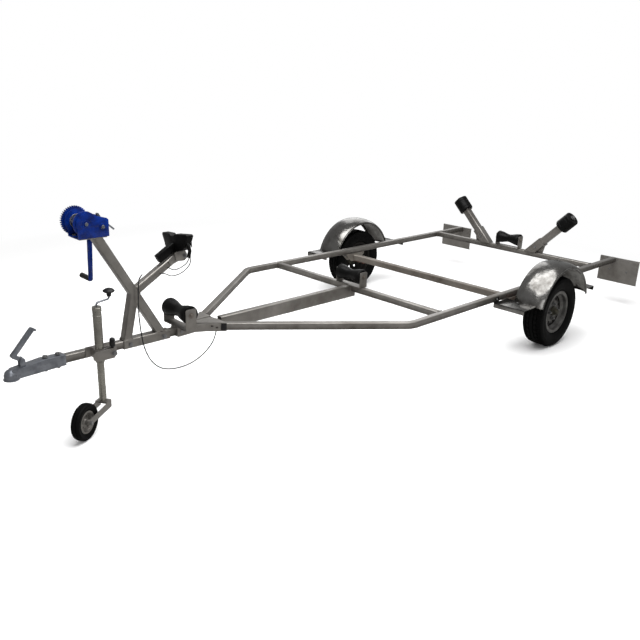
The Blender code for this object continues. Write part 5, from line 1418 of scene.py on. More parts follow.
@dataclass
class JockeyWheel:
    """The jockey wheel's tyre, pressed disc and nuts, the tube's collars and the clamp's knob."""

    finishes: Finishes
    column_ahead: float = 2.840
    column_left: float = 0.078
    trail: float = 0.165
    turn: float = math.radians(31)
    radius: float = 0.0915
    half_width: float = 0.0225
    seat: float = 0.056
    flats: int = 24
    bolts: int = 5
    knob: Spot = (2.7827, 0.0998, 0.3835)
    # Each collar's height over the ground, its own height and its radius.
    collars: tuple[Spot, ...] = ((0.6020, 0.018, 0.0222), (0.5700, 0.005, 0.0217), (0.3385, 0.005, 0.0217))
    collar_bore: float = 0.0198
    cap_up: float = 0.6120

    @property
    def centre(self) -> Vector:
        """The wheel's middle."""
        return at(self.column_ahead + self.trail * math.cos(self.turn),
                  self.column_left + self.trail * math.sin(self.turn),
                  self.radius * math.cos(math.pi / self.flats))

    @property
    def axle(self) -> Vector:
        """The wheel's own axis."""
        return Vector((-math.sin(self.turn), math.cos(self.turn), 0))

    def build_tyre(self) -> None:
        """Spins the tyre with its rib and its moulded grooves."""
        r, h = self.radius - 0.0010, self.half_width
        half = [(self.seat, 0.0150), (self.seat + 0.002, 0.0170), (self.seat + 0.006, 0.0178),
                (0.070, 0.0205), (0.0785, h), (0.0805, h - 0.0008), (0.0850, h - 0.0030),
                (r - 0.0022, h - 0.0065), (r - 0.0006, 0.0105), (r - 0.0030, 0.0098), (r - 0.0030, 0.0078),
                (r - 0.0002, 0.0070), (r, 0.0)]
        tyre = Bench.spun("jockey_tyre_rubber", mirrored(half), 72, closed=True)
        Bench.place(tyre, self.centre, self.axle)
        finish_piece(tyre, self.finishes["tyre_rubber"], "jockey_wheel", ("jockey_tyre",),
                     smooth=32.0)

    def build_disc(self) -> None:
        """Spins the rim and hub, punches the lightening holes, and adds the pressing's bolts."""
        b, s = 0.0066, self.seat - 0.0003
        half = [(b, 0.0250), (0.0125, 0.0250), (0.0140, 0.0235), (0.0145, 0.0085), (0.0180, 0.0050),
                (0.0320, 0.0042), (0.0420, 0.0062), (0.0462, 0.0120), (0.0475, 0.0160),
                (0.0535, 0.0172), (0.0555, 0.0165), (s, 0.0150)]
        section = half + [(radius, -height) for radius, height in reversed(half)]
        disc = Bench.spun("jockey_wheel_disc", section, 60, closed=True)
        for spot in ring_spots(self.bolts, 0.0295):
            punch = Bench.rod("punch", 0.0062, 0.080, 18)
            Bench.shift(punch, spot)
            Bench.carve(disc, punch)
        bolts = [disc]
        for height in (0.0064, -0.0064):
            for spot in ring_spots(self.bolts, 0.0345, height, 0.5):
                head = Bench.rod("bolt", 0.0046, 0.0042, 6, 0.0006)
                Bench.shift(head, spot)
                bolts.append(head)
        made = Bench.join("jockey_wheel_disc", bolts)
        Bench.place(made, self.centre, self.axle)
        finish_piece(made, self.finishes["hot_dip_zinc"], "jockey_wheel", ("jockey_rim",),
                     smooth=32.0)

    def build_axle_nuts(self) -> None:
        """The pin's head and lock nut outside the fork."""
        pieces = []
        for sign in (1, -1):
            washer = Bench.rod("washer", 0.0120, 0.0014, 28, 0.0003)
            Bench.shift(washer, (0, 0, sign * 0.0350))
            nut = Bench.rod("nut", 0.0098, 0.0075, 6, 0.0009)
            Bench.shift(nut, (0, 0, sign * 0.0392))
            pieces += [washer, nut]
        made = Bench.join("jockey_axle_nuts", pieces)
        Bench.place(made, self.centre, self.axle)
        finish_piece(made, self.finishes["bright_fastener_zinc"], "jockey_castor", smooth=30.0)

    def build_collars(self) -> None:
        """The swaged rings round the tube and the cap on its top."""
        pieces = []
        bore, edge = self.collar_bore, 0.0010
        for up, height, radius in self.collars:
            half = height / 2
            ring = Bench.spun("ring", [(bore, half), (radius - edge, half), (radius, half - edge),
                                       (radius, edge - half), (radius - edge, -half), (bore, -half)],
                              36, closed=True)
            Bench.shift(ring, at(self.column_ahead, self.column_left, up))
            pieces.append(ring)
        cap = Bench.spun("cap", [(0, 0.0045), (0.0090, 0.0042), (0.0165, 0.0025), (0.0205, 0.0),
                                 (0, 0.0)], 36)
        Bench.shift(cap, at(self.column_ahead, self.column_left, self.cap_up))
        pieces.append(cap)
        made = Bench.join("jockey_tube_collars", pieces)
        finish_piece(made, self.finishes["drawn_tube_zinc"], "frame", smooth=32.0)

    def build_clamp_knob(self) -> None:
        """The clamp's black knob on its short stem."""
        section = [(0, 0.0680), (0.0080, 0.0672), (0.0122, 0.0640), (0.0138, 0.0570), (0.0138, 0.0330),
                   (0.0125, 0.0255), (0.0070, 0.0225), (0.0062, 0.0200), (0.0062, 0.0), (0, 0.0)]
        knob = Bench.spun("clamp_knob", section, 28)
        Bench.place(knob, at(*self.knob), UPRIGHT)
        finish_piece(knob, self.finishes["black_moulded_plastic"], "frame",
                     ("clamp_handle",))

    def build(self) -> None:
        """Builds the whole wheel."""
        self.build_clamp_knob()
        self.build_tyre()
        self.build_disc()
        self.build_axle_nuts()
        self.build_collars()


# --- the bow stop


@dataclass
class BowStop:
    """A moulded rubber V with swept wings between two ears, and its pad along the top of the bow arm."""

    finishes: Finishes
    ahead: float = 2.320
    thick: float = 0.040
    waist_up: float = 0.820
    sweep: float = 0.16
    wing_start: float = 0.020
    front_gap: float = 0.004
    roll: float = math.radians(6.0)
    cuts: tuple[float, ...] = (-0.080, -0.045, -0.015, 0.0, 0.015, 0.045, 0.080)
    rib_start: float = 0.038
    rib_step: float = 0.019
    ribs: int = 4
    pad: Spot = (0.032, 0.043, 0.118)
    pad_middle: Spot = (2.4053, 0.0, 0.8000)
    ear: tuple[tuple[float, float], ...] = (
        (2.318, 0.819), (2.293, 0.774), (2.340, 0.753), (2.366, 0.756), (2.374, 0.796))
    ear_left: float = 0.0305
    ear_metal: float = 0.0050
    sheath: tuple[Spot, ...] = (
        (2.336, 0.090, 0.856), (2.336, 0.106, 0.840), (2.336, 0.113, 0.818), (2.336, 0.104, 0.785))

    def outline(self) -> Section:
        """The block's front outline, as places to the left and heights over the waist."""
        half = [(0.0240, -0.0300), (0.0310, -0.0200), (0.0700, -0.0120), (0.0920, 0.0040), (0.0950, 0.0160),
                (0.1170, 0.0580), (0.1165, 0.0650), (0.1100, 0.0700), (0.0260, 0.0700), (0.0120, 0.0600)]
        return half + [(-left, up) for left, up in reversed(half)]

    def build_block(self) -> Piece:
        """Extrudes the V, sweeps its wings back and rounds it.

        Returns:
            The block in place.
        """
        block = Bench.prism("block", self.outline(), self.thick)
        with Bench.editing(block):
            for cut in self.cuts:
                bpy.ops.mesh.select_all(action="SELECT")
                bpy.ops.mesh.bisect(plane_co=(cut, 0, 0), plane_no=(1, 0, 0))
        turn = Matrix(((0, 0, 1, 0), (1, 0, 0, 0), (0, 1, 0, 0), (0, 0, 0, 1)))
        block.data.transform(turn)
        for vertex in block.data.vertices:
            vertex.co.x -= self.swept(abs(vertex.co.y))
        middle = at(self.ahead + self.thick / 2 + self.front_gap, 0, self.waist_up)
        block.data.transform(Matrix.Translation(middle) @ Matrix.Rotation(self.roll, 4, "X"))
        Bench.bevel(block, 0.0035, 3)
        return block

    def swept(self, left: float) -> float:
        """How far back the wings are swept at a distance from the middle."""
        return self.sweep * max(0.0, left - self.wing_start)

    def build_ribs(self) -> list[Piece]:
        """Four moulded ribs down the face of each wing that meets the bow.

        Returns:
            The ribs in place.
        """
        ribs = []
        for sign in (1, -1):
            for i in range(self.ribs):
                left = self.rib_start + self.rib_step * i
                rib = Bench.block("rib", (0.004, 0.005, 0.056), 0.0015)
                root = at(self.ahead + 0.0030 - self.swept(left), 0, self.waist_up)
                rib.data.transform(Matrix.Translation(root) @ Matrix.Rotation(self.roll, 4, "X")
                                   @ Matrix.Translation((0, sign * left, 0.030)))
                ribs.append(rib)
        return ribs

    def build_pad(self) -> Piece:
        """The pad, leaning with the arm.

        Returns:
            The pad in place.
        """
        pad = Bench.block("pad", self.pad, 0.0040)
        along = ARM_RUN.normalized()
        lean = Matrix((ACROSS, along.cross(ACROSS), along)).transposed().to_4x4()
        pad.data.transform(Matrix.Translation(at(*self.pad_middle)) @ lean)
        return pad

    def build_ears(self) -> None:
        """The two bracket plates that hold the block between them."""
        ears = []
        for side in Side:
            plate = Bench.prism("ear", [(at(ahead, 0, 0).x, up) for ahead, up in self.ear], self.ear_metal)
            plate.data.transform(Matrix.Translation((0, side.value * self.ear_left, 0))
                                 @ Matrix.Rotation(math.pi / 2, 4, "X"))
            Bench.bevel(plate, 0.0008)
            ears.append(plate)
        made = Bench.join("bow_stop_ears", ears)
        finish_piece(made, self.finishes["hot_dip_zinc"], "frame")

    def build(self) -> None:
        """Joins the bow stop and dresses it."""
        self.build_ears()
        sheath = Bench.wire("sheath", [at(*point) for point in self.sheath], 0.0095, 14)
        made = Bench.join("bow_stop_rubber",
                          [self.build_block(), *self.build_ribs(), self.build_pad(), sheath])
        finish_piece(made, self.finishes["roller_rubber"], "frame", ("bow_stop_block",))


# --- the winch


@dataclass
class Winch:
    """What the winch carries over its frame: bearings, shaft caps, a worn barrel and the grip."""

    finishes: Finishes
    drum_ahead: float = 2.849
    drum_up: float = 1.003
    pinion_ahead: float = 2.769
    pinion_up: float = 0.983
    cheek: float = 0.052
    grip_radius: float = 0.0132
    grip_length: float = 0.092
    crank_reach: float = 0.280
    crank_lean: float = math.radians(2.5)
    grip_inner: float = 0.0860
    grip_ribs: int = 9
    flange: float = 0.0386
    anchor_ahead: float = 0.0300

    def build_bearings(self) -> None:
        """Pressed bearing rings, and a low cap on each shaft's end."""
        pieces = []
        for ahead, up, size in ((self.drum_ahead, self.drum_up, 0.0125),
                                (self.pinion_ahead, self.pinion_up, 0.0110)):
            ring = Bench.spun("ring", [(size * 1.45, 0.0), (size * 1.40, 0.0014), (size * 1.1, 0.0020),
                                       (size * 0.9, 0.0020), (size * 0.9, 0.0)], 32, closed=True)
            Bench.place(ring, at(ahead, self.cheek, up), ACROSS)
            pieces.append(ring)
        made = Bench.join("winch_bearing_rings", pieces)
        finish_piece(made, self.finishes["blue_winch_enamel"], "frame", smooth=30.0)
        for name, body, ahead, up in (("drum", "winch_reel", self.drum_ahead, self.drum_up),
                                      ("pinion", "winch_handle", self.pinion_ahead, self.pinion_up)):
            end = Bench.spun(f"{name}_shaft_end", [(0, 0.0022), (0.0042, 0.0022), (0.0080, 0.0010),
                                                   (0.0086, 0.0), (0, 0.0)], 24)
            Bench.place(end, at(ahead, self.cheek + 0.0080, up), ACROSS)
            finish_piece(end, self.finishes["zinc_plated_pressing"], body, smooth=30.0)

    def build_barrel(self) -> None:
        """The barrel's bare sleeve, worn bright by the strap, with its anchor bolt."""
        sleeve = Bench.spun("sleeve", [(0.0262, 0.0325), (0.0262, -0.0325), (0.0248, -0.0330),
                                       (0.0238, -0.0330), (0.0238, 0.0330), (0.0248, 0.0330)], 40, closed=True)
        Bench.place(sleeve, at(self.drum_ahead, 0, self.drum_up), ACROSS)
        rings = [sleeve]
        for side in (1, -1):
            ring = Bench.spun("ring", [(0.0345, 0.0), (0.0335, 0.0016), (0.0275, 0.0016), (0.0262, 0.0)], 40)
            Bench.place(ring, at(self.drum_ahead, side * self.flange, self.drum_up), Vector((0, -side, 0)))
            rings.append(ring)
        anchor = Bench.rod("anchor", 0.0062, 0.070, 20, 0.0008)
        Bench.place(anchor, at(self.drum_ahead + self.anchor_ahead, 0, self.drum_up + 0.0010), ACROSS)
        made = Bench.join("winch_barrel_sleeve", rings + [anchor])
        finish_piece(made, self.finishes["bright_fastener_zinc"], "winch_reel", smooth=32.0)

    def build_grip(self) -> None:
        """The ribbed handle that spins on the crank's pin."""
        length, radius = self.grip_length, self.grip_radius
        outer = [(radius * 0.82, 0.0), (radius, -0.0030)]
        for i in range(self.grip_ribs):
            start = -0.0090 - i * (length - 0.018) / self.grip_ribs
            outer += [(radius, start), (radius * 0.93, start - 0.0016), (radius * 0.93, start - 0.0036),
                      (radius, start - 0.0052)]
        outer += [(radius, 0.0040 - length), (radius * 0.80, -length)]
        section = outer + [(0.0052, -length), (0.0052, 0.0)]
        grip = Bench.spun("crank_grip_ribbed", section, 32, closed=True)
        end = at(self.pinion_ahead + self.crank_reach * math.sin(self.crank_lean), -self.grip_inner,
                 self.pinion_up - self.crank_reach * math.cos(self.crank_lean))
        Bench.place(grip, end, ACROSS)
        finish_piece(grip, self.finishes["black_moulded_plastic"], "winch_handle",
                     ("crank_grip",), smooth=32.0)

    def build(self) -> None:
        """Builds the winch's fittings."""
        self.build_bearings()
        self.build_barrel()
        self.build_grip()


# --- fasteners and welds


class Way(Enum):
    """The way that a fastener's head faces."""

    UP = (0, 0, 1)
    DOWN = (0, 0, -1)
    LEFT = (0, 1, 0)
    RIGHT = (0, -1, 0)
    AHEAD = (1, 0, 0)


@dataclass(frozen=True)
class FastenerRow:
    """Hexagon heads or nuts of one thread size on one body.

    Each place is how far ahead, left and up the face is that it sits on, and the way it faces.
    """

    name: str
    body: str
    thread: float
    places: tuple[tuple[float, float, float, Way], ...]
    nut: bool = False

    def build_one(self) -> Piece:
        """A washer and a chamfered hexagon, with the thread's end through a nut.

        Returns:
            The fastener, its seat at its own origin and its head along local Z.
        """
        t = self.thread
        washer = Bench.rod("washer", 1.10 * t, 0.16 * t, 24, 0.03 * t)
        Bench.shift(washer, (0, 0, 0.08 * t))
        height = 0.80 * t if self.nut else 0.66 * t
        hexagon = Bench.rod("hexagon", 0.90 * t, height, 6)
        crown = Bench.spun("crown", [(0, height / 2), (0.76 * t, height / 2), (1.0 * t, height * 0.34),
                                     (1.0 * t, -height / 2), (0, -height / 2)], 24)
        Bench.carve(hexagon, crown, "INTERSECT")
        Bench.shift(hexagon, (0, 0, 0.16 * t + height / 2))
        pieces = [washer, hexagon]
        if self.nut:
            stud = Bench.rod("stud", 0.50 * t, 0.60 * t, 16, 0.08 * t)
            Bench.shift(stud, (0, 0, 0.16 * t + height + 0.10 * t))
            pieces.append(stud)
        return Bench.join("fastener", pieces)

    def build(self, finishes: Finishes) -> None:
        """Models one and sets copies at every place.

        Args:
            finishes: the trailer's finishes.
        """
        first = self.build_one()
        pieces = []
        for i, (ahead, left, up, way) in enumerate(self.places):
            facing = Vector(way.value)
            twist = Matrix.Rotation(math.radians(17 + 41 * i), 4, "Z")
            turn = UPRIGHT.rotation_difference(facing).to_matrix().to_4x4()
            pieces.append(Bench.copy(first, "fastener",
                                     Matrix.Translation(at(ahead, left, up)) @ turn @ twist))
        bpy.data.objects.remove(first, do_unlink=True)
        made = Bench.join(self.name, pieces)
        finish_piece(made, finishes["bright_fastener_zinc"], self.body, smooth=30.0)


SIDES = ((1, Way.LEFT), (-1, Way.RIGHT))
FASTENER_ROWS = (
    FastenerRow("mudguard_foot_bolts", "frame", 0.006, tuple(
        (end * 0.444, sign * 0.7683, 0.366, way) for end in (1, -1) for sign, way in SIDES)),
    FastenerRow("mudguard_stay_bolts", "frame", 0.006, tuple(
        (end * 0.355, sign * left, 0.347, Way.UP)
        for end in (1, -1) for left in (0.868, 0.963) for sign in (1, -1))),
    FastenerRow("axle_seat_bolts", "frame", 0.012, tuple(
        (ahead, sign * 0.745, 0.3345, Way.DOWN) for ahead in (0.106, 0.274) for sign in (1, -1))),
    FastenerRow("post_sleeve_bolts", "frame", 0.012, tuple(
        (ahead, sign * 0.0250, 0.3600, way) for ahead in (2.448, 2.645) for sign, way in SIDES)),
    FastenerRow("frame_sleeve_bolts", "frame", 0.012, tuple(
        (ahead, sign * 0.0250, 0.3645, way) for ahead in (2.290, 2.345) for sign, way in SIDES)),
    FastenerRow("coupling_top_bolts", "frame", 0.012,
                ((3.013, 0.0, 0.3925, Way.UP), (3.074, 0.0, 0.3925, Way.UP))),
    FastenerRow("coupling_under_nuts", "frame", 0.012,
                ((3.013, 0.0, 0.3380, Way.DOWN), (3.074, 0.0, 0.3380, Way.DOWN)), nut=True),
    FastenerRow("bow_stop_bolts", "frame", 0.012, tuple(
        (2.312, sign * 0.0322, 0.777, way) for sign, way in SIDES), nut=True),
    FastenerRow("lamp_plate_nuts", "frame", 0.006, tuple(
        (-1.3180, sign * left, 0.284, Way.AHEAD) for left in (0.7255, 0.8655) for sign in (1, -1)), nut=True),
    FastenerRow("winch_floor_bolts", "frame", 0.008, tuple(
        (ahead, left, 0.939, Way.UP) for ahead in (2.757, 2.872) for left in (0.030, -0.030))),
    FastenerRow("clamp_jaw_nut", "frame", 0.012, ((2.7825, 0.1155, 0.377, Way.LEFT),), nut=True),
    FastenerRow("beam_end_bolts", "frame", 0.008,
                ((1.060, 0.0, 0.307, Way.DOWN), (1.120, 0.0, 0.307, Way.DOWN))),
    FastenerRow("side_socket_bolts", "frame", 0.010, tuple(
        (-0.899, sign * 0.262, 0.435, Way.AHEAD) for sign in (1, -1))),
)


@dataclass
class FrameCheeks:
    """The frame bracket's side plates: they follow the sleeve, then turn out along the rails."""

    finishes: Finishes
    low: float = 0.338
    top: float = 0.3885
    metal: float = 0.004
    route: tuple[tuple[float, float], ...] = (
        (2.3715, 0.0285), (2.2600, 0.0300), (2.1960, 0.0700), (2.1480, 0.1072))
    rise: float = 0.040
    hole_radius: float = 0.0065
    holes: tuple[Spot, ...] = ((2.1620, 0.0964, 0.366), (2.1820, 0.0809, 0.374))

    def build(self) -> None:
        """Folds a plate along each side and drills its two holes."""
        plates = []
        for side in Side:
            outer = [(ahead, side.value * (left + self.metal)) for ahead, left in self.route]
            inner = [(ahead, side.value * left) for ahead, left in self.route]
            plan = [(at(ahead, left, 0).x, left) for ahead, left in outer + inner[::-1]]
            plate = Bench.prism("cheek", plan if side is Side.RIGHT else plan[::-1], self.top - self.low)
            Bench.shift(plate, (0, 0, (self.low + self.top) / 2))
            front = at(self.route[0][0], 0, 0).x
            for vertex in plate.data.vertices:
                if vertex.co.z < (self.low + self.top) / 2:
                    vertex.co.z += self.rise * (front - vertex.co.x)
            for ahead, left, up in self.holes:
                drill = Bench.rod("drill", self.hole_radius, 0.040, 24)
                Bench.place(drill, at(ahead, side.value * left, up),
                            Vector((math.sin(RailSleeves.turn), side.value * math.cos(RailSleeves.turn), 0)))
                Bench.carve(plate, drill)
            Bench.bevel(plate, 0.0006, 1)
            plates.append(plate)
        made = Bench.join("frame_bracket_cheeks", plates)
        finish_piece(made, self.finishes["hot_dip_zinc"], "frame")


@dataclass
class RailSleeves:
    """A black plastic sleeve round each rail, just behind its nose."""

    finishes: Finishes
    ahead: float = 2.1170
    left: float = 0.0999
    up: float = TUBE_UP
    turn: float = math.radians(37.75)
    size: Spot = (0.030, 0.0418, 0.0394)

    def build(self) -> None:
        """Sets one sleeve on each rail."""
        sleeves = []
        for side in Side:
            sleeve = Bench.block("sleeve", self.size, 0.0016)
            sleeve.data.transform(Matrix.Translation(at(self.ahead, side.value * self.left, self.up))
                                  @ Matrix.Rotation(-side.value * self.turn, 4, "Z"))
            sleeves.append(sleeve)
        made = Bench.join("rail_nose_sleeves", sleeves)
        finish_piece(made, self.finishes["black_moulded_plastic"], "frame")


# Each seam's middle, and half of its rectangle's one side and of the other.
SEAMS = (
    *(((cross, side.value * 0.7252, TUBE_UP), (HALF_TUBE, 0, 0), (0, 0, HALF_TUBE))
      for cross in (REAR_CROSS, FRONT_CROSS) for side in Side),
    ((1.0212, 0, TUBE_UP), (0, HALF_TUBE, 0), (0, 0, HALF_TUBE)),
    ((2.466, 0, 0.3897), (0.0262, 0, 0), (0, 0.0222, 0)),
    ((2.655, 0, 0.3897), (0.0232, 0, 0), (0, 0.0222, 0)),
    ((2.784, 0, 0.9296), (0.0262, 0, 0), (0, 0.0222, 0)),
    ((2.584, 0, 0.6345), (0, HALF_TUBE, 0), (0.0099, 0, 0.0168)),
)


@dataclass
class Welds:
    """Rippled beads round the joints between the frame's tubes."""

    finishes: Finishes
    radius: float = 0.0032

    @staticmethod
    def loop(centre: Vector, first: Vector, second: Vector) -> list[Vector]:
        """A rectangle of seam round a tube's end.

        Args:
            centre: the middle of the tube's end.
            first: half of the rectangle's one side.
            second: half of its other side.

        Returns:
            Its corners, back at the start.
        """
        corners = [centre + first + second, centre - first + second, centre - first - second,
                   centre + first - second]
        return corners + corners[:1]

    def build(self) -> None:
        """Lays every bead and joins them."""
        routes = [self.loop(at(*middle), Vector(first), Vector(second)) for middle, first, second in SEAMS]
        beads = [Bench.bead("bead", route, self.radius) for route in routes]
        made = Bench.join("frame_weld_beads", beads)
        finish_piece(made, self.finishes["weld_bead_zinc"], "frame", smooth=60.0)


# --- cables


@dataclass
class Cables:
    """The lighting cable and the two thin leads, each a free cord."""

    finishes: Finishes
    cable_radius: float = 0.0032
    lead_radius: float = 0.0025
    cable_step: float = 0.020
    lead_step: float = 0.012
    post_foot: Spot = (2.466, 0, 0.3645)
    boot_end: Spot = (2.285, 0.0326, 0.758)
    beside_arm: Spot = (2.357, 0.0228, 0.769)

    # Steps from the post's foot, and then from the boot's end.
    LIGHTING = (
        (0.094, 0.0235, 0.3475), (0.11, 0.03, 0.3385), (0.124, 0.036, 0.3115), (0.131, 0.04, 0.2355),
        (0.135, 0.045, 0.1405), (0.126, 0.048, 0.0275), (0.112, 0.051, -0.0425), (0.082, 0.053, -0.1085),
        (0.036, 0.055, -0.1565), (-0.018, 0.057, -0.1795), (-0.093, 0.059, -0.1875), (-0.17, 0.06, -0.1765),
        (-0.24, 0.061, -0.1445), (-0.295, 0.062, -0.0955), (-0.32, 0.062, -0.0445), (-0.323, 0.062, -0.0237),
    )
    OUTER = (
        (-0.004, -0.0001, -0.0005), (-0.006, -0.0007, -0.020), (0.007, -0.0017, -0.043),
        (0.031, -0.0027, -0.062), (0.059, -0.0027, -0.074), (0.090, -0.0037, -0.079),
    )
    INNER = (
        (0.004, -0.0001, -0.0018), (0.013, -0.0007, -0.018), (0.028, -0.0017, -0.031),
        (0.053, -0.0027, -0.042), (0.077, -0.0037, -0.048), (0.093, -0.0047, -0.049),
    )
    # Along the arm, out from its side, and over its middle line.
    OUTER_TIE = ((0.0789, 0.0052, -0.0567), (0.0891, 0.0032, -0.0425), (0.1004, 0, -0.0242),
                 (0.1186, 0, -0.0099))
    INNER_TIE = ((0.0588, 0.0032, -0.0267), (0.0679, 0, -0.0086))

    def lay(self, name: str, node: str, route: list[Vector], radius: float, step: float) -> None:
        """Args:
            name: the cord's name.
            node: the frame node that it stands for.
            route: given points along it.
            radius: its radius.
            step: the spacing of the curve's points.
        """
        spots = Bench.curve_points(route, step)
        piece = Bench.line(name, spots, radius, 4)
        piece.data.splines[0].use_smooth = True
        piece.data.materials.append(self.finishes["soft_cable_sheath"])
        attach(piece, "frame")
        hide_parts(node)

    def build(self) -> None:
        """Lays the cable and both leads."""
        self.lay("lighting_cable_cord", "lighting_cable",
                 [at(*self.post_foot) + Vector(step) for step in self.LIGHTING],
                 self.cable_radius, self.cable_step)
        back = -ARM_RUN.normalized()
        above = Vector((-back.z, 0, back.x))
        for name, droop, tie in (("outer", self.OUTER, self.OUTER_TIE), ("inner", self.INNER, self.INNER_TIE)):
            route = [at(*self.boot_end) + Vector(step) for step in droop]
            route += [at(*self.beside_arm) + back * along + ACROSS * out + above * rise
                      for along, out, rise in tie]
            self.lay(f"bow_lead_{name}", f"strand_{name}", route, self.lead_radius, self.lead_step)


# --- the studio


@dataclass
class Studio:
    """Pale floor, white surround, soft lamps, and the camera at the photograph's angle."""

    camera_ahead: float = 4.2845
    camera_left: float = 3.0388
    camera_up: float = 1.6512
    yaw: float = math.radians(-134.682)
    pitch: float = math.radians(18.812)
    roll: float = math.radians(2.080)
    lens: float = 39.274
    floor_half: float = 30.0
    floor_tone: str = "#fbfbfb"
    floor_near: float = 2.6
    floor_far: float = 4.4
    bounce_tone: str = "#b4b3b1"
    surround: float = 0.42
    key_power: float = 290.0
    key_size: float = 4.0
    fill_power: float = 34.0
    back_power: float = 42.0
    back_size: float = 2.8
    key_at: Spot = (0.3, 0.4, 3.6)
    fill_at: Spot = (3.6, 3.4, 2.4)
    back_at: Spot = (-3.4, -2.6, 2.3)
    key_aim: Spot = (0, 0, 0.3)
    side_aim: Spot = (0.2, 0, 0.4)

    def build_camera(self) -> None:
        """Sets the camera by its measured place and turn."""
        ahead = Vector((math.cos(self.yaw) * math.cos(self.pitch),
                        math.sin(self.yaw) * math.cos(self.pitch), -math.sin(self.pitch)))
        right = ahead.cross(UPRIGHT).normalized()
        up = right.cross(ahead)
        turned_right = math.cos(self.roll) * right + math.sin(self.roll) * up
        turned_up = -math.sin(self.roll) * right + math.cos(self.roll) * up
        turn = Matrix((turned_right, turned_up, -ahead)).transposed().to_4x4()
        data = bpy.data.cameras.new("camera")
        data.lens = self.lens
        data.sensor_width = 36.0
        data.clip_end = 100.0
        camera = Bench.link("camera", data)
        place = at(self.camera_ahead, self.camera_left, self.camera_up)
        camera.matrix_world = Matrix.Translation(place) @ turn
        bpy.context.scene.camera = camera

    def build_floor(self) -> None:
        """A wide floor whose colour meets the white surround."""
        Bench.clear()
        bpy.ops.mesh.primitive_plane_add(size=2 * self.floor_half, location=(0, 0, 0))
        floor = bpy.context.active_object
        floor.name = "studio_floor"
        Bench.take(floor)
        bpy.ops.object.transform_apply(location=True, rotation=True, scale=True)
        material = bpy.data.materials.new("pale_floor")
        material.use_nodes = True
        tree = material.node_tree
        shader = tree.nodes["Principled BSDF"]
        ray = add_node(tree, "LightPath", out="Is Camera Ray")
        tone = add_node(tree, "Mix", {0: ray, 6: linear(self.bounce_tone), 7: linear(self.floor_tone)}, 2,
                        data_type="RGBA")
        tree.links.new(tone, shader.inputs["Base Color"])
        shader.inputs["Roughness"].default_value = 0.9
        shader.inputs["Specular IOR Level"].default_value = 0.1
        spot = add_node(tree, "TexCoord", out="Object")
        reach = add_node(tree, "VectorMath", {0: spot}, "Value", operation="LENGTH")
        far = add_node(tree, "MapRange", {"Value": reach, "From Min": self.floor_near,
                                          "From Max": self.floor_far})
        share = add_node(tree, "Math", {0: far, 1: ray}, operation="MULTIPLY")
        glow = add_node(tree, "Emission", {"Color": WHITE, "Strength": 1.0})
        both = add_node(tree, "MixShader", {0: share, 1: shader.outputs[0], 2: glow})
        tree.links.new(both, tree.nodes["Material Output"].inputs["Surface"])
        floor.data.materials.append(material)

    def build_world(self) -> None:
        """White to the camera, a plain grey level as light and in reflections."""
        world = bpy.data.worlds.new("studio")
        world.use_nodes = True
        bpy.context.scene.world = world
        tree = world.node_tree
        tree.nodes.clear()
        ray = add_node(tree, "LightPath", out="Is Camera Ray")
        through = ray.node.outputs["Is Transmission Ray"]
        seen = add_node(tree, "Math", {0: ray, 1: through}, operation="MAXIMUM")
        strength = add_node(tree, "MapRange", {"Value": seen, "To Min": self.surround, "To Max": 1.0})
        light = add_node(tree, "Background", {"Color": WHITE, "Strength": strength})
        add_node(tree, "OutputWorld", {"Surface": light})

    def build_lamp(self, name: str, where: Spot, aim: Spot, power: float, size: float) -> None:
        """One soft square lamp aimed at a point.

        Args:
            name: the lamp's name.
            where: its place, from the frame's origin.
            aim: the point that it faces.
            power: its power in watts.
            size: its side.
        """
        data = bpy.data.lights.new(name, "AREA")
        data.energy = power
        data.size = size
        turn = (Vector(aim) - Vector(where)).to_track_quat("-Z", "Y").to_matrix().to_4x4()
        Bench.link(name, data).matrix_world = Matrix.Translation(where) @ turn

    def build(self) -> None:
        """Builds the studio."""
        self.build_camera()
        self.build_floor()
        self.build_world()
        self.build_lamp("overhead_softbox", self.key_at, self.key_aim, self.key_power, self.key_size)
        self.build_lamp("front_fill", self.fill_at, self.side_aim, self.fill_power, self.key_size / 2)
        self.build_lamp("back_softbox", self.back_at, self.side_aim, self.back_power, self.back_size)
        bpy.context.scene.view_settings.view_transform = "Standard"


# --- shapes kept from the frame


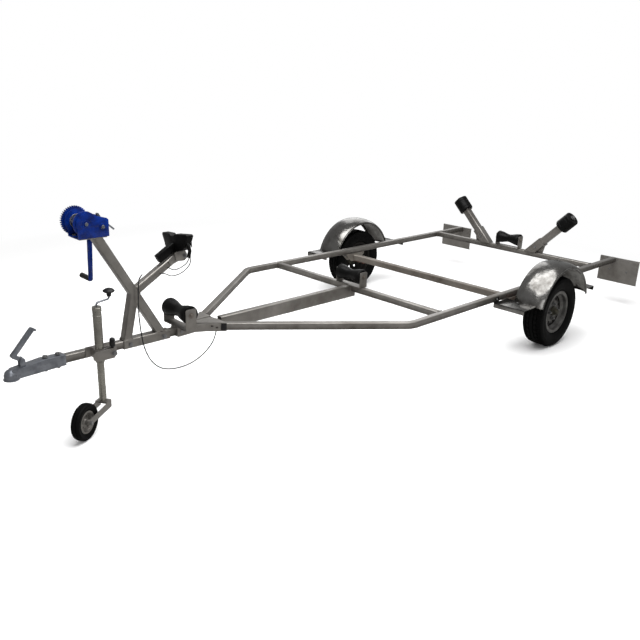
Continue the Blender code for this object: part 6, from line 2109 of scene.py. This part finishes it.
@dataclass(frozen=True)
class KeptShape:
    """A frame node whose own shape is kept, its edges rounded and its faces smoothed."""

    finish: str
    nodes: tuple[str, ...]
    edge: float = 0.8 * MM
    facet: float = 40.0
    trim: float | None = None

    def build(self, finishes: Finishes) -> None:
        """Rounds and dresses a merged copy of each node.

        Args:
            finishes: the trailer's finishes.
        """
        for node in self.nodes:
            piece = Bench.adopt(node, f"{node}_finished")
            if self.trim is not None:
                with Bench.editing(piece):
                    bpy.ops.mesh.bisect(plane_co=at(self.trim, 0, 0), plane_no=(1, 0, 0), use_fill=True,
                                        clear_inner=True)
            if self.edge:
                Bench.bevel(piece, self.edge, degrees=30.0)
            finish_piece(piece, finishes[self.finish], frame["nodes"][node]["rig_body"],
                         (node,), smooth=self.facet)


KEPT_SHAPES = (
    KeptShape("road_film_dip_zinc", ("rail_left", "rail_right", "front_cross_member", "rear_cross_member",
                                     "drawbar")),
    KeptShape("hot_dip_zinc", ("center_beam", "lamp_plate_left", "lamp_plate_right", "side_arm_left",
                               "side_arm_right", "winch_post", "bow_stop_bracket", "jockey_clamp",
                               "jockey_fork")),
    KeptShape("hot_dip_zinc", ("frame_bracket",), trim=2.118),
    KeptShape("drawn_tube_zinc", ("jockey_tube", "jockey_leg"), 0.0),
    KeptShape("weathered_dip_zinc", ("axle_beam",)),
    KeptShape("zinc_plated_pressing", ("coupling_body", "coupling_handle", "winch_pawl", "jockey_crank")),
    KeptShape("rusty_forging", ("swing_arm_left", "swing_arm_right"), 1.6 * MM),
    KeptShape("blue_winch_enamel", ("winch_frame", "winch_crank")),
    KeptShape("blue_winch_enamel", ("winch_drum",), 0.3 * MM),
    KeptShape("black_moulded_plastic", ("jockey_knob", "cable_boot"), 1.2 * MM),
)


def main() -> None:
    """Builds the studio, the finishes and every sub-assembly."""
    logging.basicConfig(level=logging.INFO, format="%(message)s", force=True)
    Studio().build()
    finishes = Finishes()
    for shape in KEPT_SHAPES:
        shape.build(finishes)
    for side in Side:
        RoadWheel(side, finishes).build()
        MudGuard(side, finishes).build()
        TailLamp(side, finishes).build()
        SideRoller(side, finishes).build()
    for roller in KEEL_ROLLERS:
        KeelRoller(*roller, finishes).build()
    BowStop(finishes).build()
    JockeyWheel(finishes).build()
    Winch(finishes).build()
    for row in FASTENER_ROWS:
        row.build(finishes)
    FrameCheeks(finishes).build()
    RailSleeves(finishes).build()
    Welds(finishes).build()
    Cables(finishes).build()


if __name__ == "__main__":
    main()
